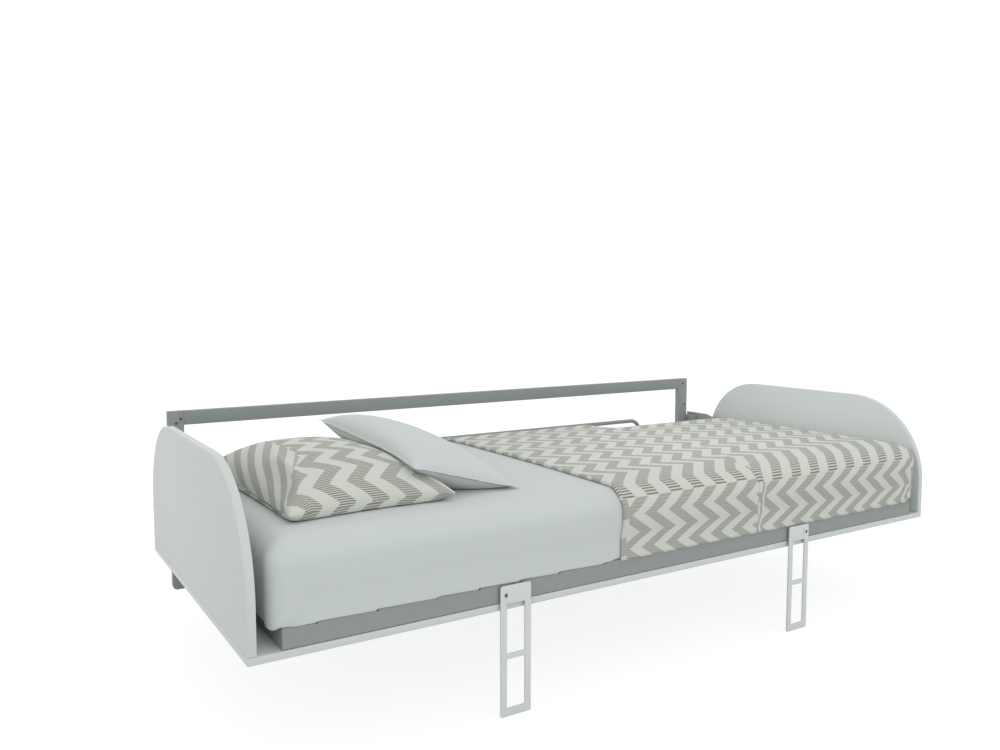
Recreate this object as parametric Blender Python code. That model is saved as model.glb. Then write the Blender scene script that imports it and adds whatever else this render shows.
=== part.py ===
"""A single bed that folds sideways up against a wall.

The frame on the wall stands still. The bed, a white panel with an end board at each end, a steel
base with slats and a mattress, swings about one axis along its rear edge. Two flat legs fold in
along its front edge, and a gas spring at each end carries its weight.
X runs along the bed from the head (-X) to the foot (+X), +Y into the wall, +Z up.
The origin is the centre of the top wall rail's back face, on the wall.
"""

import math

import bmesh
import bpy
from mathutils import Matrix, Vector

# Clearances
SEAT_GAP = 0.0003
RUNNING_GAP = 0.0004
MITRE_GAP = 0.0005
CUT_OVERRUN = 0.002
SAME_PLACE = 0.0001

# Mattress, the size that the rest follows
MATTRESS_LENGTH = 2.000
MATTRESS_DEPTH = 0.898
MATTRESS_HEIGHT = 0.165
MATTRESS_CROWN = 0.005
MATTRESS_WAIST = 0.0025
MATTRESS_CORNER_RADIUS = 0.065
MATTRESS_TOP_RADIUS = 0.038
MATTRESS_BOTTOM_RADIUS = 0.018
MATTRESS_REST_GAP = 0.0005
MATTRESS_END_OVERHANG = 0.016
MATTRESS_BACK_OVERHANG = 0.015
MATTRESS_FRONT_SET = 0.001

# Layers between the end of the mattress and the end board, from inside out
ARM_CLEARANCE = 0.004
ARM_THICKNESS = 0.004
BRACKET_THICKNESS = 0.004
LOW_HEAD_THICKNESS = 0.0015
SPRING_RADIUS = 0.0075
BOARD_CLEARANCE = 0.0023

# Bottom panel and end boards
PANEL_THICKNESS = 0.016
BOARD_THICKNESS = 0.018
BOARD_HEIGHT = 0.347
BOARD_FRONT_RADIUS = 0.250
BOARD_BACK_RADIUS = 0.220

# Steel base of the bed
FRAME_HEIGHT = 0.044
FRAME_TUBE_WIDTH = 0.025
FRAME_WALL = 0.0015
CENTRE_RAIL_WIDTH = 0.040
SLAT_WIDTH = 0.068
SLAT_THICKNESS = 0.008
SLAT_TOP_SET = 0.0004
SLAT_CAP_LENGTH = 0.030
SLAT_CAP_WIDTH = 0.074
SLAT_CAP_DEPTH = 0.016
SLAT_PLACE_SHARES = (0.088, 0.217, 0.348, 0.457, 0.562, 0.667, 0.802, 0.931)

# Bar that stops the mattress from sliding down when the bed is up
RETAINER_RADIUS = 0.007
RETAINER_HALF_SPAN = 0.692
RETAINER_TOP_BEND = 0.042
RETAINER_FOOT_BEND = 0.018
RETAINER_BEHIND = 0.018
RETAINER_BELOW_TOP = 0.003
RETAINER_FOOT_RISE = 0.022

# Axis of the bed, and the frame on the wall
PIVOT_RISE = 0.154
PIVOT_FROM_BACK = 0.089
WALL_CLEARANCE = 0.003
WALL_TUBE_DEPTH = 0.020
WALL_RAIL_HEIGHT = 0.040
WALL_UPRIGHT_WIDTH = 0.0434
WALL_UPRIGHT_HEIGHT = 0.511
WALL_TUBE_WALL = 0.002
WALL_FRAME_INSET = 0.011
UPRIGHT_FOOT_RADIUS = 0.012

# Swing arms, fixed brackets and their bolts
ARM_EYE_RADIUS = 0.025
ARM_FOOT_BEHIND = 0.045
ARM_FOOT_AHEAD = 0.115
ARM_BLOCK_HEIGHT = 0.038
BRACKET_NOSE = 0.030
BRACKET_RISE = 0.058
BRACKET_DROP = 0.120
BRACKET_CHAMFER_BEHIND = 0.086
BRACKET_CHAMFER_DROP = 0.034
BRACKET_BACK_GAP = 0.003
BRACKET_CORNER_RADIUS = 0.018
BRACKET_EDGE_RADIUS = 0.004
BRACKET_BLOCK_LENGTH = 0.055
BRACKET_BLOCK_SET = 0.012
PIVOT_BOLT_RADIUS = 0.006
PIVOT_HEAD_RADIUS = 0.011
PIVOT_INNER_HEAD = 0.0018

# Gas springs, each from a stud on the bracket to a stud on the base
SPRING_ANCHOR_DROP = 0.090
SPRING_STUD_AHEAD = 0.420
SPRING_STUD_RISE = 0.024
SPRING_TUBE_LENGTH = 0.270
SPRING_BORE_RADIUS = 0.0046
SPRING_BORE_FLOOR = 0.030
SPRING_NECK_RADIUS = 0.005
SOCKET_FACE_ANGLE = math.radians(12)
SOCKET_NECK_ANGLE = math.radians(124)
ROD_RADIUS = 0.004
ROD_LENGTH = 0.330
STUD_RADIUS = 0.005
STUD_FLANGE_RADIUS = 0.011
STUD_FLANGE_THICKNESS = 0.003

# Legs
LEG_FROM_MIDDLE = 0.4655
LEG_WIDTH = 0.079
LEG_LENGTH = 0.295
LEG_THICKNESS = 0.004
LEG_STANDOFF = 0.0045
LEG_BELOW_FRAME_TOP = 0.0043
LEG_HEAD_HEIGHT = 0.041
LEG_SIDE_BAR = 0.016
LEG_CROSS_BAR = 0.012
LEG_CROSS_BAR_DROP = 0.153
LEG_FOOT_BAR = 0.0185
LEG_CORNER_RADIUS = 0.006
LEG_PIVOT_FROM_EDGE = 0.013
LEG_PIVOT_DROP = 0.020
LEG_BOLT_RADIUS = 0.004
LEG_BOLT_HEAD_RADIUS = 0.0055
LEG_BOLT_HEAD_THICKNESS = 0.0022
LEG_BOLT_REACH = 0.010
LEG_SPACER_RADIUS = 0.008

# Screws that show on the uprights: inward from the outer edge, down from the top
SCREW_RADIUS = 0.002
SCREW_HEAD_RADIUS = 0.0034
SCREW_HEAD_THICKNESS = 0.0016
SCREW_REACH = 0.006
LEFT_SCREW_INWARD = (0.035, 0.022)
LEFT_SCREW_DOWN = (0.022, 0.034)
RIGHT_SCREW_INWARD = (0.024, 0.0125)
RIGHT_SCREW_DOWN = (0.019, 0.103)

# Coverlet
COVERLET_THICKNESS = 0.003
COVERLET_GAP = 0.001
COVERLET_REACH = 1.165
COVERLET_HEM_RISE = 0.006
COVERLET_BACK_DROP = 0.050
COVERLET_FOOT_HANG = 0.300
COVERLET_FOOT_RUN = 0.300
COVERLET_WAVE = 0.0004
COVERLET_WAVE_LENGTH = 0.235
COVERLET_NOTCH = 0.030
COVERLET_ARM_GAP = 0.006

# Patterned pillow, lying at the head
LOWER_PILLOW_WIDTH = 0.385
LOWER_PILLOW_LENGTH = 0.607
LOWER_PILLOW_RISE = 0.0908
LOWER_PILLOW_SEAM = 0.0136
LOWER_PILLOW_FROM_HEAD = 0.249
LOWER_PILLOW_FROM_FRONT = 0.4058
LOWER_PILLOW_TURN = math.radians(1.7)

# Plain pillow, leaning on the patterned one
UPPER_PILLOW_WIDTH = 0.277
UPPER_PILLOW_LENGTH = 0.554
UPPER_PILLOW_RISE = 0.0641
UPPER_PILLOW_SEAM = 0.0585
UPPER_PILLOW_SIDE_TILT = 0.0394
UPPER_PILLOW_END_TILT = 0.0222
UPPER_PILLOW_FROM_HEAD = 0.491
UPPER_PILLOW_FROM_FRONT = 0.407
UPPER_PILLOW_TURN = math.radians(1.4)
PILLOW_GAP = 0.0006
PILLOW_BRIDGE_GAP = 0.003
PILLOW_WAIST_SHARE = 0.06
PILLOW_BRIDGE_SHARE = 1.10
PILLOW_SQUARENESS = 2.6

# How finely round stretches and cloth are divided
ROUND_STEPS = 24
SMALL_ROUND_STEPS = 16
BAR_STEPS = 10
BOARD_ARC_STEPS = 14
ARC_STEPS = 6
SMALL_ARC_STEPS = 4
MATTRESS_SIDE_CELLS = 8
MATTRESS_END_CELLS = 4
MATTRESS_UNDER_STEPS = 3
MATTRESS_SIDE_SHARES = (0.25, 0.5, 0.75)
MATTRESS_TOP_SHARES = (0.25, 0.45, 0.68, 0.9)
COVERLET_CELLS = 22
COVERLET_HANG_SHARES = (0, 0.35, 0.7)
PILLOW_CELLS_ACROSS = 18
PILLOW_CELLS_ALONG = 24
SMOOTH_ANGLE = math.radians(35)
FILLET_REACH_SHARE = 0.4975

# Places along X, counted from the middle of the bed
MATTRESS_HALF = MATTRESS_LENGTH / 2
FRAME_HALF = MATTRESS_HALF - MATTRESS_END_OVERHANG
WALL_FRAME_HALF = MATTRESS_HALF - WALL_FRAME_INSET
ARM_INNER = MATTRESS_HALF + ARM_CLEARANCE
ARM_OUTER = ARM_INNER + ARM_THICKNESS
BRACKET_INNER = ARM_OUTER + RUNNING_GAP
BRACKET_OUTER = BRACKET_INNER + BRACKET_THICKNESS
LOW_HEAD_OUTER = BRACKET_OUTER + SEAT_GAP + LOW_HEAD_THICKNESS
SPRING_X = LOW_HEAD_OUTER + RUNNING_GAP + SPRING_RADIUS
BOARD_INNER = SPRING_X + SPRING_RADIUS + BOARD_CLEARANCE
PANEL_HALF = BOARD_INNER + BOARD_THICKNESS

# Places along Z, counted from the middle of the top wall rail
BOARD_TOP = WALL_RAIL_HEIGHT / 2
PANEL_TOP = BOARD_TOP - BOARD_HEIGHT - SEAT_GAP
PANEL_UNDER = PANEL_TOP - PANEL_THICKNESS
FRAME_BOTTOM = PANEL_TOP + SEAT_GAP
FRAME_TOP = FRAME_BOTTOM + FRAME_HEIGHT
MATTRESS_BOTTOM = FRAME_TOP + MATTRESS_REST_GAP
MATTRESS_SHOULDER = MATTRESS_BOTTOM + MATTRESS_HEIGHT
MATTRESS_TOP = MATTRESS_SHOULDER + MATTRESS_CROWN
PIVOT_Z = PANEL_TOP + PIVOT_RISE
WALL_FRAME_TOP = WALL_RAIL_HEIGHT / 2
WALL_FRAME_BOTTOM = WALL_FRAME_TOP - WALL_UPRIGHT_HEIGHT
LEG_TOP = FRAME_TOP - LEG_BELOW_FRAME_TOP
FLOOR = LEG_TOP - LEG_LENGTH

# Places along Y, counted from the wall. Folded up, the boards' tops just clear the wall.
PIVOT_Y = -(BOARD_TOP - PIVOT_Z) - WALL_CLEARANCE
BED_BACK = PIVOT_Y + PIVOT_FROM_BACK
PANEL_DEPTH = MATTRESS_DEPTH + MATTRESS_FRONT_SET - MATTRESS_BACK_OVERHANG
BED_FRONT = BED_BACK - PANEL_DEPTH
MATTRESS_FRONT = BED_FRONT + MATTRESS_FRONT_SET
MATTRESS_BACK = MATTRESS_FRONT + MATTRESS_DEPTH
MATTRESS_MIDDLE = (MATTRESS_FRONT + MATTRESS_BACK) / 2
WALL_FRAME_FRONT = -WALL_TUBE_DEPTH
LEG_BACK = BED_FRONT - LEG_STANDOFF
LEG_FRONT = LEG_BACK - LEG_THICKNESS

# The pivots
BED_PIVOT = Vector((0, PIVOT_Y, PIVOT_Z))
SPRING_ANCHOR = Vector((0, PIVOT_Y, PIVOT_Z - SPRING_ANCHOR_DROP))
SPRING_STUD = Vector((0, PIVOT_Y - SPRING_STUD_AHEAD, FRAME_BOTTOM + SPRING_STUD_RISE))
LEG_PIVOT_X = LEG_FROM_MIDDLE + LEG_WIDTH / 2 - LEG_PIVOT_FROM_EDGE
LEG_PIVOT_Z = LEG_TOP - LEG_PIVOT_DROP

SIDES = (("left", -1), ("right", 1))


def clear_scene():
    """Remove every object that the file starts with."""
    for item in list(bpy.data.objects):
        bpy.data.objects.remove(item, do_unlink=True)


def finish(name, colour, roughness, metallic=0.0):
    """A plain material with the photographed colour."""
    material = bpy.data.materials.new(name)
    material.use_nodes = True
    shader = material.node_tree.nodes["Principled BSDF"]
    shader.inputs["Base Color"].default_value = (*colour, 1)
    shader.inputs["Roughness"].default_value = roughness
    shader.inputs["Metallic"].default_value = metallic
    return material


def carrier(name, place):
    """An empty that a moving body's pieces hang on, at its joint."""
    empty = bpy.data.objects.new(name, None)
    empty.location = place
    bpy.context.collection.objects.link(empty)
    return empty


def piece(name, mesh_data, material, parent, wound=False):
    """Make an object from a bmesh in world coordinates and hang it on its carrier.

    wound is for a shape whose faces already point out.
    """
    if not wound:
        bmesh.ops.recalc_face_normals(mesh_data, faces=mesh_data.faces)
    mesh = bpy.data.meshes.new(name)
    mesh_data.to_mesh(mesh)
    mesh_data.free()
    mesh.materials.append(material)
    item = bpy.data.objects.new(name, mesh)
    bpy.context.collection.objects.link(item)
    item.parent = parent
    item.location = -parent.location
    return item


def smooth_round(item):
    """Shade a round piece smooth and keep its real edges."""
    item.data.shade_smooth()
    item.data.set_sharp_from_angle(angle=SMOOTH_ANGLE)


def block(low, high):
    """A bmesh box between two corners."""
    shape = bmesh.new()
    low, high = Vector(low), Vector(high)
    centre = (low + high) / 2
    size = high - low
    matrix = Matrix.Translation(centre) @ Matrix.Diagonal((*size, 1))
    bmesh.ops.create_cube(shape, size=1, matrix=matrix)
    return shape


def cut(item, tool_shape, name):
    """Cut a shape out of a piece. The cutter stays as a hidden guide."""
    bmesh.ops.recalc_face_normals(tool_shape, faces=tool_shape.faces)
    mesh = bpy.data.meshes.new(name)
    tool_shape.to_mesh(mesh)
    tool_shape.free()
    tool = bpy.data.objects.new(name, mesh)
    bpy.context.collection.objects.link(tool)
    tool.hide_render = True
    tool.display_type = "WIRE"
    boolean = item.modifiers.new(name, "BOOLEAN")
    boolean.operation = "DIFFERENCE"
    boolean.solver = "EXACT"
    boolean.object = tool


def join(item, added_shape, name):
    """Weld a shape to a piece. The added shape stays as a hidden guide."""
    cut(item, added_shape, name)
    item.modifiers[name].operation = "UNION"


def corner_arc(before, corner, after, radius, steps):
    """The points of a fillet between two straight edges of an outline."""
    to_before = (before - corner).normalized()
    to_after = (after - corner).normalized()
    half_angle = to_before.angle(to_after) / 2
    reach = radius / math.tan(half_angle)
    reach = min(reach, FILLET_REACH_SHARE * (before - corner).length,
                FILLET_REACH_SHARE * (after - corner).length)
    radius = reach * math.tan(half_angle)
    centre = corner + (to_before + to_after).normalized() * (radius / math.sin(half_angle))
    start = corner + to_before * reach - centre
    turn = math.pi - 2 * half_angle
    if to_before.x * to_after.y - to_before.y * to_after.x > 0:
        turn = -turn
    points = []
    for step in range(steps + 1):
        angle = turn * step / steps
        spun = Vector((start.x * math.cos(angle) - start.y * math.sin(angle),
                       start.x * math.sin(angle) + start.y * math.cos(angle)))
        points.append(centre + spun)
    return points


def rounded_outline(corners, radii, steps):
    """A closed outline through corners, each with its own fillet radius."""
    corners = [Vector(corner) for corner in corners]
    points = []
    for index, corner in enumerate(corners):
        radius = radii[index]
        if radius == 0:
            points.append(corner)
            continue
        after = corners[(index + 1) % len(corners)]
        points.extend(corner_arc(corners[index - 1], corner, after, radius, steps))
    return points


def slab(outline, axis, low, high):
    """Extrude an outline along X or Y between two planes."""
    shape = bmesh.new()
    rings = []
    for level in (low, high):
        if axis == "X":
            rings.append([shape.verts.new((level, point.x, point.y)) for point in outline])
        else:
            rings.append([shape.verts.new((point.x, level, point.y)) for point in outline])
    count = len(outline)
    for index in range(count):
        following = (index + 1) % count
        shape.faces.new((rings[0][index], rings[0][following],
                         rings[1][following], rings[1][index]))
    shape.faces.new(rings[0])
    shape.faces.new(rings[1])
    return shape


def close_rings(shape, rings):
    """Join rings of points into a closed skin with a flat face at each end."""
    for ring, following in zip(rings, rings[1:]):
        for step in range(len(ring)):
            after = (step + 1) % len(ring)
            shape.faces.new((ring[step], ring[after], following[after], following[step]))
    shape.faces.new(rings[0])
    shape.faces.new(rings[-1])


def turned(profile, start, direction, steps=ROUND_STEPS):
    """Turn a profile of (distance, radius) pairs about a line. It ends in flat faces."""
    shape = bmesh.new()
    direction = Vector(direction).normalized()
    turn = direction.to_track_quat("Z", "Y")
    rings = []
    for distance, radius in profile:
        ring = []
        for step in range(steps):
            angle = math.tau * step / steps
            offset = turn @ Vector((radius * math.cos(angle), radius * math.sin(angle), distance))
            ring.append(shape.verts.new(Vector(start) + offset))
        rings.append(ring)
    close_rings(shape, rings)
    return shape


def turned_ring(outer, inner, length, start, direction, steps=ROUND_STEPS):
    """A plain bush with a bore right through."""
    profile = ((0, inner), (0, outer), (length, outer), (length, inner))
    shape = turned(profile, start, direction, steps)
    shape.faces.ensure_lookup_table()
    caps = [face for face in shape.faces if len(face.verts) == steps]
    bmesh.ops.delete(shape, geom=caps, context="FACES_ONLY")
    shape.verts.ensure_lookup_table()
    first = shape.verts[:steps]
    last = shape.verts[3 * steps:]
    for step in range(steps):
        after = (step + 1) % steps
        shape.faces.new((first[step], last[step], last[after], first[after]))
    return shape


def hollow_bar(outer_ends, inner_ends):
    """A four-sided tube with open ends, from the corners of its two ends."""
    shape = bmesh.new()
    outer = [[shape.verts.new(corner) for corner in end] for end in outer_ends]
    inner = [[shape.verts.new(corner) for corner in end] for end in inner_ends]
    for index in range(4):
        following = (index + 1) % 4
        shape.faces.new((outer[0][index], outer[0][following],
                         outer[1][following], outer[1][index]))
        shape.faces.new((inner[0][following], inner[0][index],
                         inner[1][index], inner[1][following]))
        for end in (0, 1):
            shape.faces.new((outer[end][index], outer[end][following],
                             inner[end][following], inner[end][index]))
    return shape


def square_tube(axis, start, stop, low, high, wall, mitre=0):
    """A tube along X or Y from start to stop. low and high are its (across, height) corners.

    Its ends are cut at 45 degrees where mitre is 1, with the low side longer, or -1, with the
    high side longer.
    """
    def end(place, inward, inset):
        corners = []
        for across, z in ((low[0] + inset, low[1] + inset), (high[0] - inset, low[1] + inset),
                          (high[0] - inset, high[1] - inset), (low[0] + inset, high[1] - inset)):
            back = 0
            if mitre > 0:
                back = across - low[0]
            if mitre < 0:
                back = high[0] - across
            along = place + inward * back
            corners.append((along, across, z) if axis == "X" else (across, along, z))
        return corners
    return hollow_bar((end(start, 1, 0), end(stop, -1, 0)),
                      (end(start, 1, wall), end(stop, -1, wall)))


def build_wall_frame(steel, zinc, wall):
    """Two rails between two uprights, with the screws that show."""
    inner = WALL_FRAME_HALF - WALL_UPRIGHT_WIDTH - SEAT_GAP
    for name, top in (("wall_rail_top", WALL_FRAME_TOP),
                      ("wall_rail_bottom", WALL_FRAME_BOTTOM + WALL_RAIL_HEIGHT)):
        shape = square_tube("X", -inner, inner, (WALL_FRAME_FRONT, top - WALL_RAIL_HEIGHT),
                            (0, top), WALL_TUBE_WALL)
        piece(name, shape, steel, wall)
    screws = {"left": (LEFT_SCREW_INWARD, LEFT_SCREW_DOWN),
              "right": (RIGHT_SCREW_INWARD, RIGHT_SCREW_DOWN)}
    for side, sign in SIDES:
        outline = rounded_outline(
            ((sign * (WALL_FRAME_HALF - WALL_UPRIGHT_WIDTH), WALL_FRAME_BOTTOM),
             (sign * WALL_FRAME_HALF, WALL_FRAME_BOTTOM),
             (sign * WALL_FRAME_HALF, WALL_FRAME_TOP),
             (sign * (WALL_FRAME_HALF - WALL_UPRIGHT_WIDTH), WALL_FRAME_TOP)),
            (0, UPRIGHT_FOOT_RADIUS, 0, 0), ARC_STEPS)
        upright = piece(f"wall_upright_{side}", slab(outline, "Y", WALL_FRAME_FRONT, 0), steel, wall)
        bore = sorted((sign * (WALL_FRAME_HALF - WALL_TUBE_WALL),
                       sign * (WALL_FRAME_HALF - WALL_UPRIGHT_WIDTH + WALL_TUBE_WALL)))
        cut(upright, block((bore[0], WALL_FRAME_FRONT + WALL_TUBE_WALL,
                            WALL_FRAME_BOTTOM - CUT_OVERRUN),
                           (bore[1], -WALL_TUBE_WALL, WALL_FRAME_TOP - WALL_TUBE_WALL)),
            f"upright_bore_{side}")
        for index, (inward, down) in enumerate(zip(*screws[side])):
            place = Vector((sign * (WALL_FRAME_HALF - inward), WALL_FRAME_FRONT,
                            WALL_FRAME_TOP - down))
            hole = SCREW_RADIUS + SEAT_GAP
            cut(upright, turned(((0, hole), (WALL_TUBE_WALL + 2 * CUT_OVERRUN, hole)),
                                place - Vector((0, CUT_OVERRUN, 0)), (0, 1, 0),
                                SMALL_ROUND_STEPS), f"screw_hole_{side}_{index + 1}")
            profile = ((0, SCREW_HEAD_RADIUS), (SCREW_HEAD_THICKNESS, SCREW_HEAD_RADIUS),
                       (SCREW_HEAD_THICKNESS, SCREW_RADIUS),
                       (SCREW_HEAD_THICKNESS + SCREW_REACH, SCREW_RADIUS))
            start = place - Vector((0, SEAT_GAP + SCREW_HEAD_THICKNESS, 0))
            screw = piece(f"wall_screw_{side}_{index + 1}",
                          turned(profile, start, (0, 1, 0), SMALL_ROUND_STEPS), zinc, wall)
            smooth_round(screw)


def build_brackets(steel, zinc, wall):
    """The plates that carry the bed's axis, each with its pivot bolt and gas spring stud."""
    top = PIVOT_Z + BRACKET_RISE
    foot = PIVOT_Z - BRACKET_DROP
    nose = PIVOT_Y - BRACKET_NOSE
    back = -BRACKET_BACK_GAP
    corners = ((nose, foot), (back, foot), (back, top),
               (PIVOT_Y + BRACKET_CHAMFER_BEHIND, top), (nose, top - BRACKET_CHAMFER_DROP))
    radii = (BRACKET_CORNER_RADIUS, BRACKET_EDGE_RADIUS, BRACKET_EDGE_RADIUS,
             BRACKET_EDGE_RADIUS, BRACKET_CORNER_RADIUS)
    outline = rounded_outline(corners, radii, SMALL_ARC_STEPS)
    for side, sign in SIDES:
        plate = slab(outline, "X", sign * BRACKET_INNER, sign * BRACKET_OUTER)
        bracket = piece(f"side_bracket_{side}", plate, steel, wall)
        inner = sorted((sign * (WALL_FRAME_HALF + SEAT_GAP),
                        sign * (BRACKET_INNER + BRACKET_THICKNESS / 2)))
        join(bracket, block((inner[0], back - BRACKET_BLOCK_LENGTH, foot + BRACKET_BLOCK_SET),
                            (inner[1], back, top - BRACKET_BLOCK_SET)),
             f"bracket_block_{side}")
        for label, centre, radius in (("pivot", BED_PIVOT, PIVOT_BOLT_RADIUS),
                                      ("stud", SPRING_ANCHOR, STUD_RADIUS)):
            hole = radius + SEAT_GAP
            start = centre + Vector((sign * (BRACKET_INNER - CUT_OVERRUN), 0, 0))
            cut(bracket, turned(((0, hole), (BRACKET_THICKNESS + 2 * CUT_OVERRUN, hole)),
                                start, (sign, 0, 0)), f"bracket_{label}_hole_{side}")
        inner_head = ARM_INNER - SEAT_GAP - PIVOT_INNER_HEAD
        shank_end = BRACKET_OUTER + SEAT_GAP - inner_head
        profile = ((0, PIVOT_HEAD_RADIUS), (PIVOT_INNER_HEAD, PIVOT_HEAD_RADIUS),
                   (PIVOT_INNER_HEAD, PIVOT_BOLT_RADIUS), (shank_end, PIVOT_BOLT_RADIUS),
                   (shank_end, PIVOT_HEAD_RADIUS),
                   (shank_end + LOW_HEAD_THICKNESS, PIVOT_HEAD_RADIUS))
        bolt = piece(f"pivot_bolt_{side}",
                     turned(profile, BED_PIVOT + Vector((sign * inner_head, 0, 0)), (sign, 0, 0)),
                     zinc, wall)
        smooth_round(bolt)
        shank_end = BRACKET_THICKNESS + SEAT_GAP
        profile = ((0, STUD_RADIUS), (shank_end, STUD_RADIUS),
                   (shank_end, STUD_FLANGE_RADIUS),
                   (shank_end + LOW_HEAD_THICKNESS, STUD_FLANGE_RADIUS))
        start = SPRING_ANCHOR + Vector((sign * BRACKET_INNER, 0, 0))
        stud = piece(f"spring_anchor_{side}", turned(profile, start, (sign, 0, 0)), zinc, wall)
        smooth_round(stud)


def build_boards(white, bed):
    """The bottom panel, which faces the room when the bed is up, and the two end boards."""
    piece("bottom_panel", block((-PANEL_HALF, BED_FRONT, PANEL_UNDER),
                                (PANEL_HALF, BED_BACK, PANEL_TOP)), white, bed)
    foot = PANEL_TOP + SEAT_GAP
    outline = rounded_outline(
        ((BED_FRONT, foot), (BED_BACK, foot), (BED_BACK, BOARD_TOP), (BED_FRONT, BOARD_TOP)),
        (0, 0, BOARD_BACK_RADIUS, BOARD_FRONT_RADIUS), BOARD_ARC_STEPS)
    for name, sign in (("head_end_board", -1), ("foot_end_board", 1)):
        board = piece(name, slab(outline, "X", sign * BOARD_INNER, sign * PANEL_HALF), white, bed)
        smooth_round(board)


def build_base(steel, bed):
    """The mitred base frame with its centre rail. The front rail has the legs' bolt holes."""
    z_low, z_high = FRAME_BOTTOM, FRAME_TOP
    front_inner = BED_FRONT + FRAME_TUBE_WIDTH
    back_inner = BED_BACK - FRAME_TUBE_WIDTH
    end_start, end_stop = BED_FRONT + MITRE_GAP, BED_BACK - MITRE_GAP
    end_inner = FRAME_HALF - FRAME_TUBE_WIDTH
    front = piece("frame_rail_front",
                  square_tube("X", -FRAME_HALF, FRAME_HALF, (BED_FRONT, z_low),
                              (front_inner, z_high), FRAME_WALL, 1), steel, bed)
    piece("frame_rail_rear",
          square_tube("X", -FRAME_HALF, FRAME_HALF, (back_inner, z_low), (BED_BACK, z_high),
                      FRAME_WALL, -1), steel, bed)
    piece("frame_rail_head",
          square_tube("Y", end_start, end_stop, (-FRAME_HALF, z_low), (-end_inner, z_high),
                      FRAME_WALL, 1), steel, bed)
    piece("frame_rail_foot",
          square_tube("Y", end_start, end_stop, (end_inner, z_low), (FRAME_HALF, z_high),
                      FRAME_WALL, -1), steel, bed)
    half = CENTRE_RAIL_WIDTH / 2
    piece("frame_rail_centre",
          square_tube("Y", front_inner + SEAT_GAP, back_inner - SEAT_GAP, (-half, z_low),
                      (half, z_high), FRAME_WALL), steel, bed)
    for side, sign in SIDES:
        hole = LEG_BOLT_RADIUS + SEAT_GAP
        start = Vector((sign * LEG_PIVOT_X, BED_FRONT - CUT_OVERRUN, LEG_PIVOT_Z))
        cut(front, turned(((0, hole), (FRAME_WALL + 2 * CUT_OVERRUN, hole)), start, (0, 1, 0),
                          SMALL_ROUND_STEPS), f"leg_bolt_hole_{side}")


def build_slats(beech, bed):
    """Beech slats whose end caps hang between the front and rear rails."""
    low_y = BED_FRONT + FRAME_TUBE_WIDTH + SEAT_GAP
    high_y = BED_BACK - FRAME_TUBE_WIDTH - SEAT_GAP
    top = FRAME_TOP - SLAT_TOP_SET
    cap_half = SLAT_CAP_WIDTH / 2
    slat_half = SLAT_WIDTH / 2
    places = [-share * FRAME_HALF for share in reversed(SLAT_PLACE_SHARES)]
    places += [share * FRAME_HALF for share in SLAT_PLACE_SHARES]
    for index, x in enumerate(places):
        outline = [Vector(point) for point in (
            (x - cap_half, low_y), (x + cap_half, low_y),
            (x + cap_half, low_y + SLAT_CAP_LENGTH), (x + slat_half, low_y + SLAT_CAP_LENGTH),
            (x + slat_half, high_y - SLAT_CAP_LENGTH), (x + cap_half, high_y - SLAT_CAP_LENGTH),
            (x + cap_half, high_y), (x - cap_half, high_y),
            (x - cap_half, high_y - SLAT_CAP_LENGTH), (x - slat_half, high_y - SLAT_CAP_LENGTH),
            (x - slat_half, low_y + SLAT_CAP_LENGTH), (x - cap_half, low_y + SLAT_CAP_LENGTH))]
        shape = bmesh.new()
        upper = [shape.verts.new((point.x, point.y, top)) for point in outline]
        lower = [shape.verts.new((point.x, point.y, top - SLAT_THICKNESS)) for point in outline]
        for step in range(len(outline)):
            after = (step + 1) % len(outline)
            shape.faces.new((upper[step], lower[step], lower[after], upper[after]))
        shape.faces.new(upper)
        shape.faces.new(lower)
        slat = piece(f"slat_{index + 1:02d}", shape, beech, bed)
        for label, start, stop in (("front", low_y, low_y + SLAT_CAP_LENGTH),
                                   ("rear", high_y - SLAT_CAP_LENGTH, high_y)):
            join(slat, block((x - cap_half, start, top - SLAT_CAP_DEPTH),
                             (x + cap_half, stop, top - SLAT_THICKNESS / 2)),
                 f"slat_cap_{label}_{index + 1:02d}")


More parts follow.
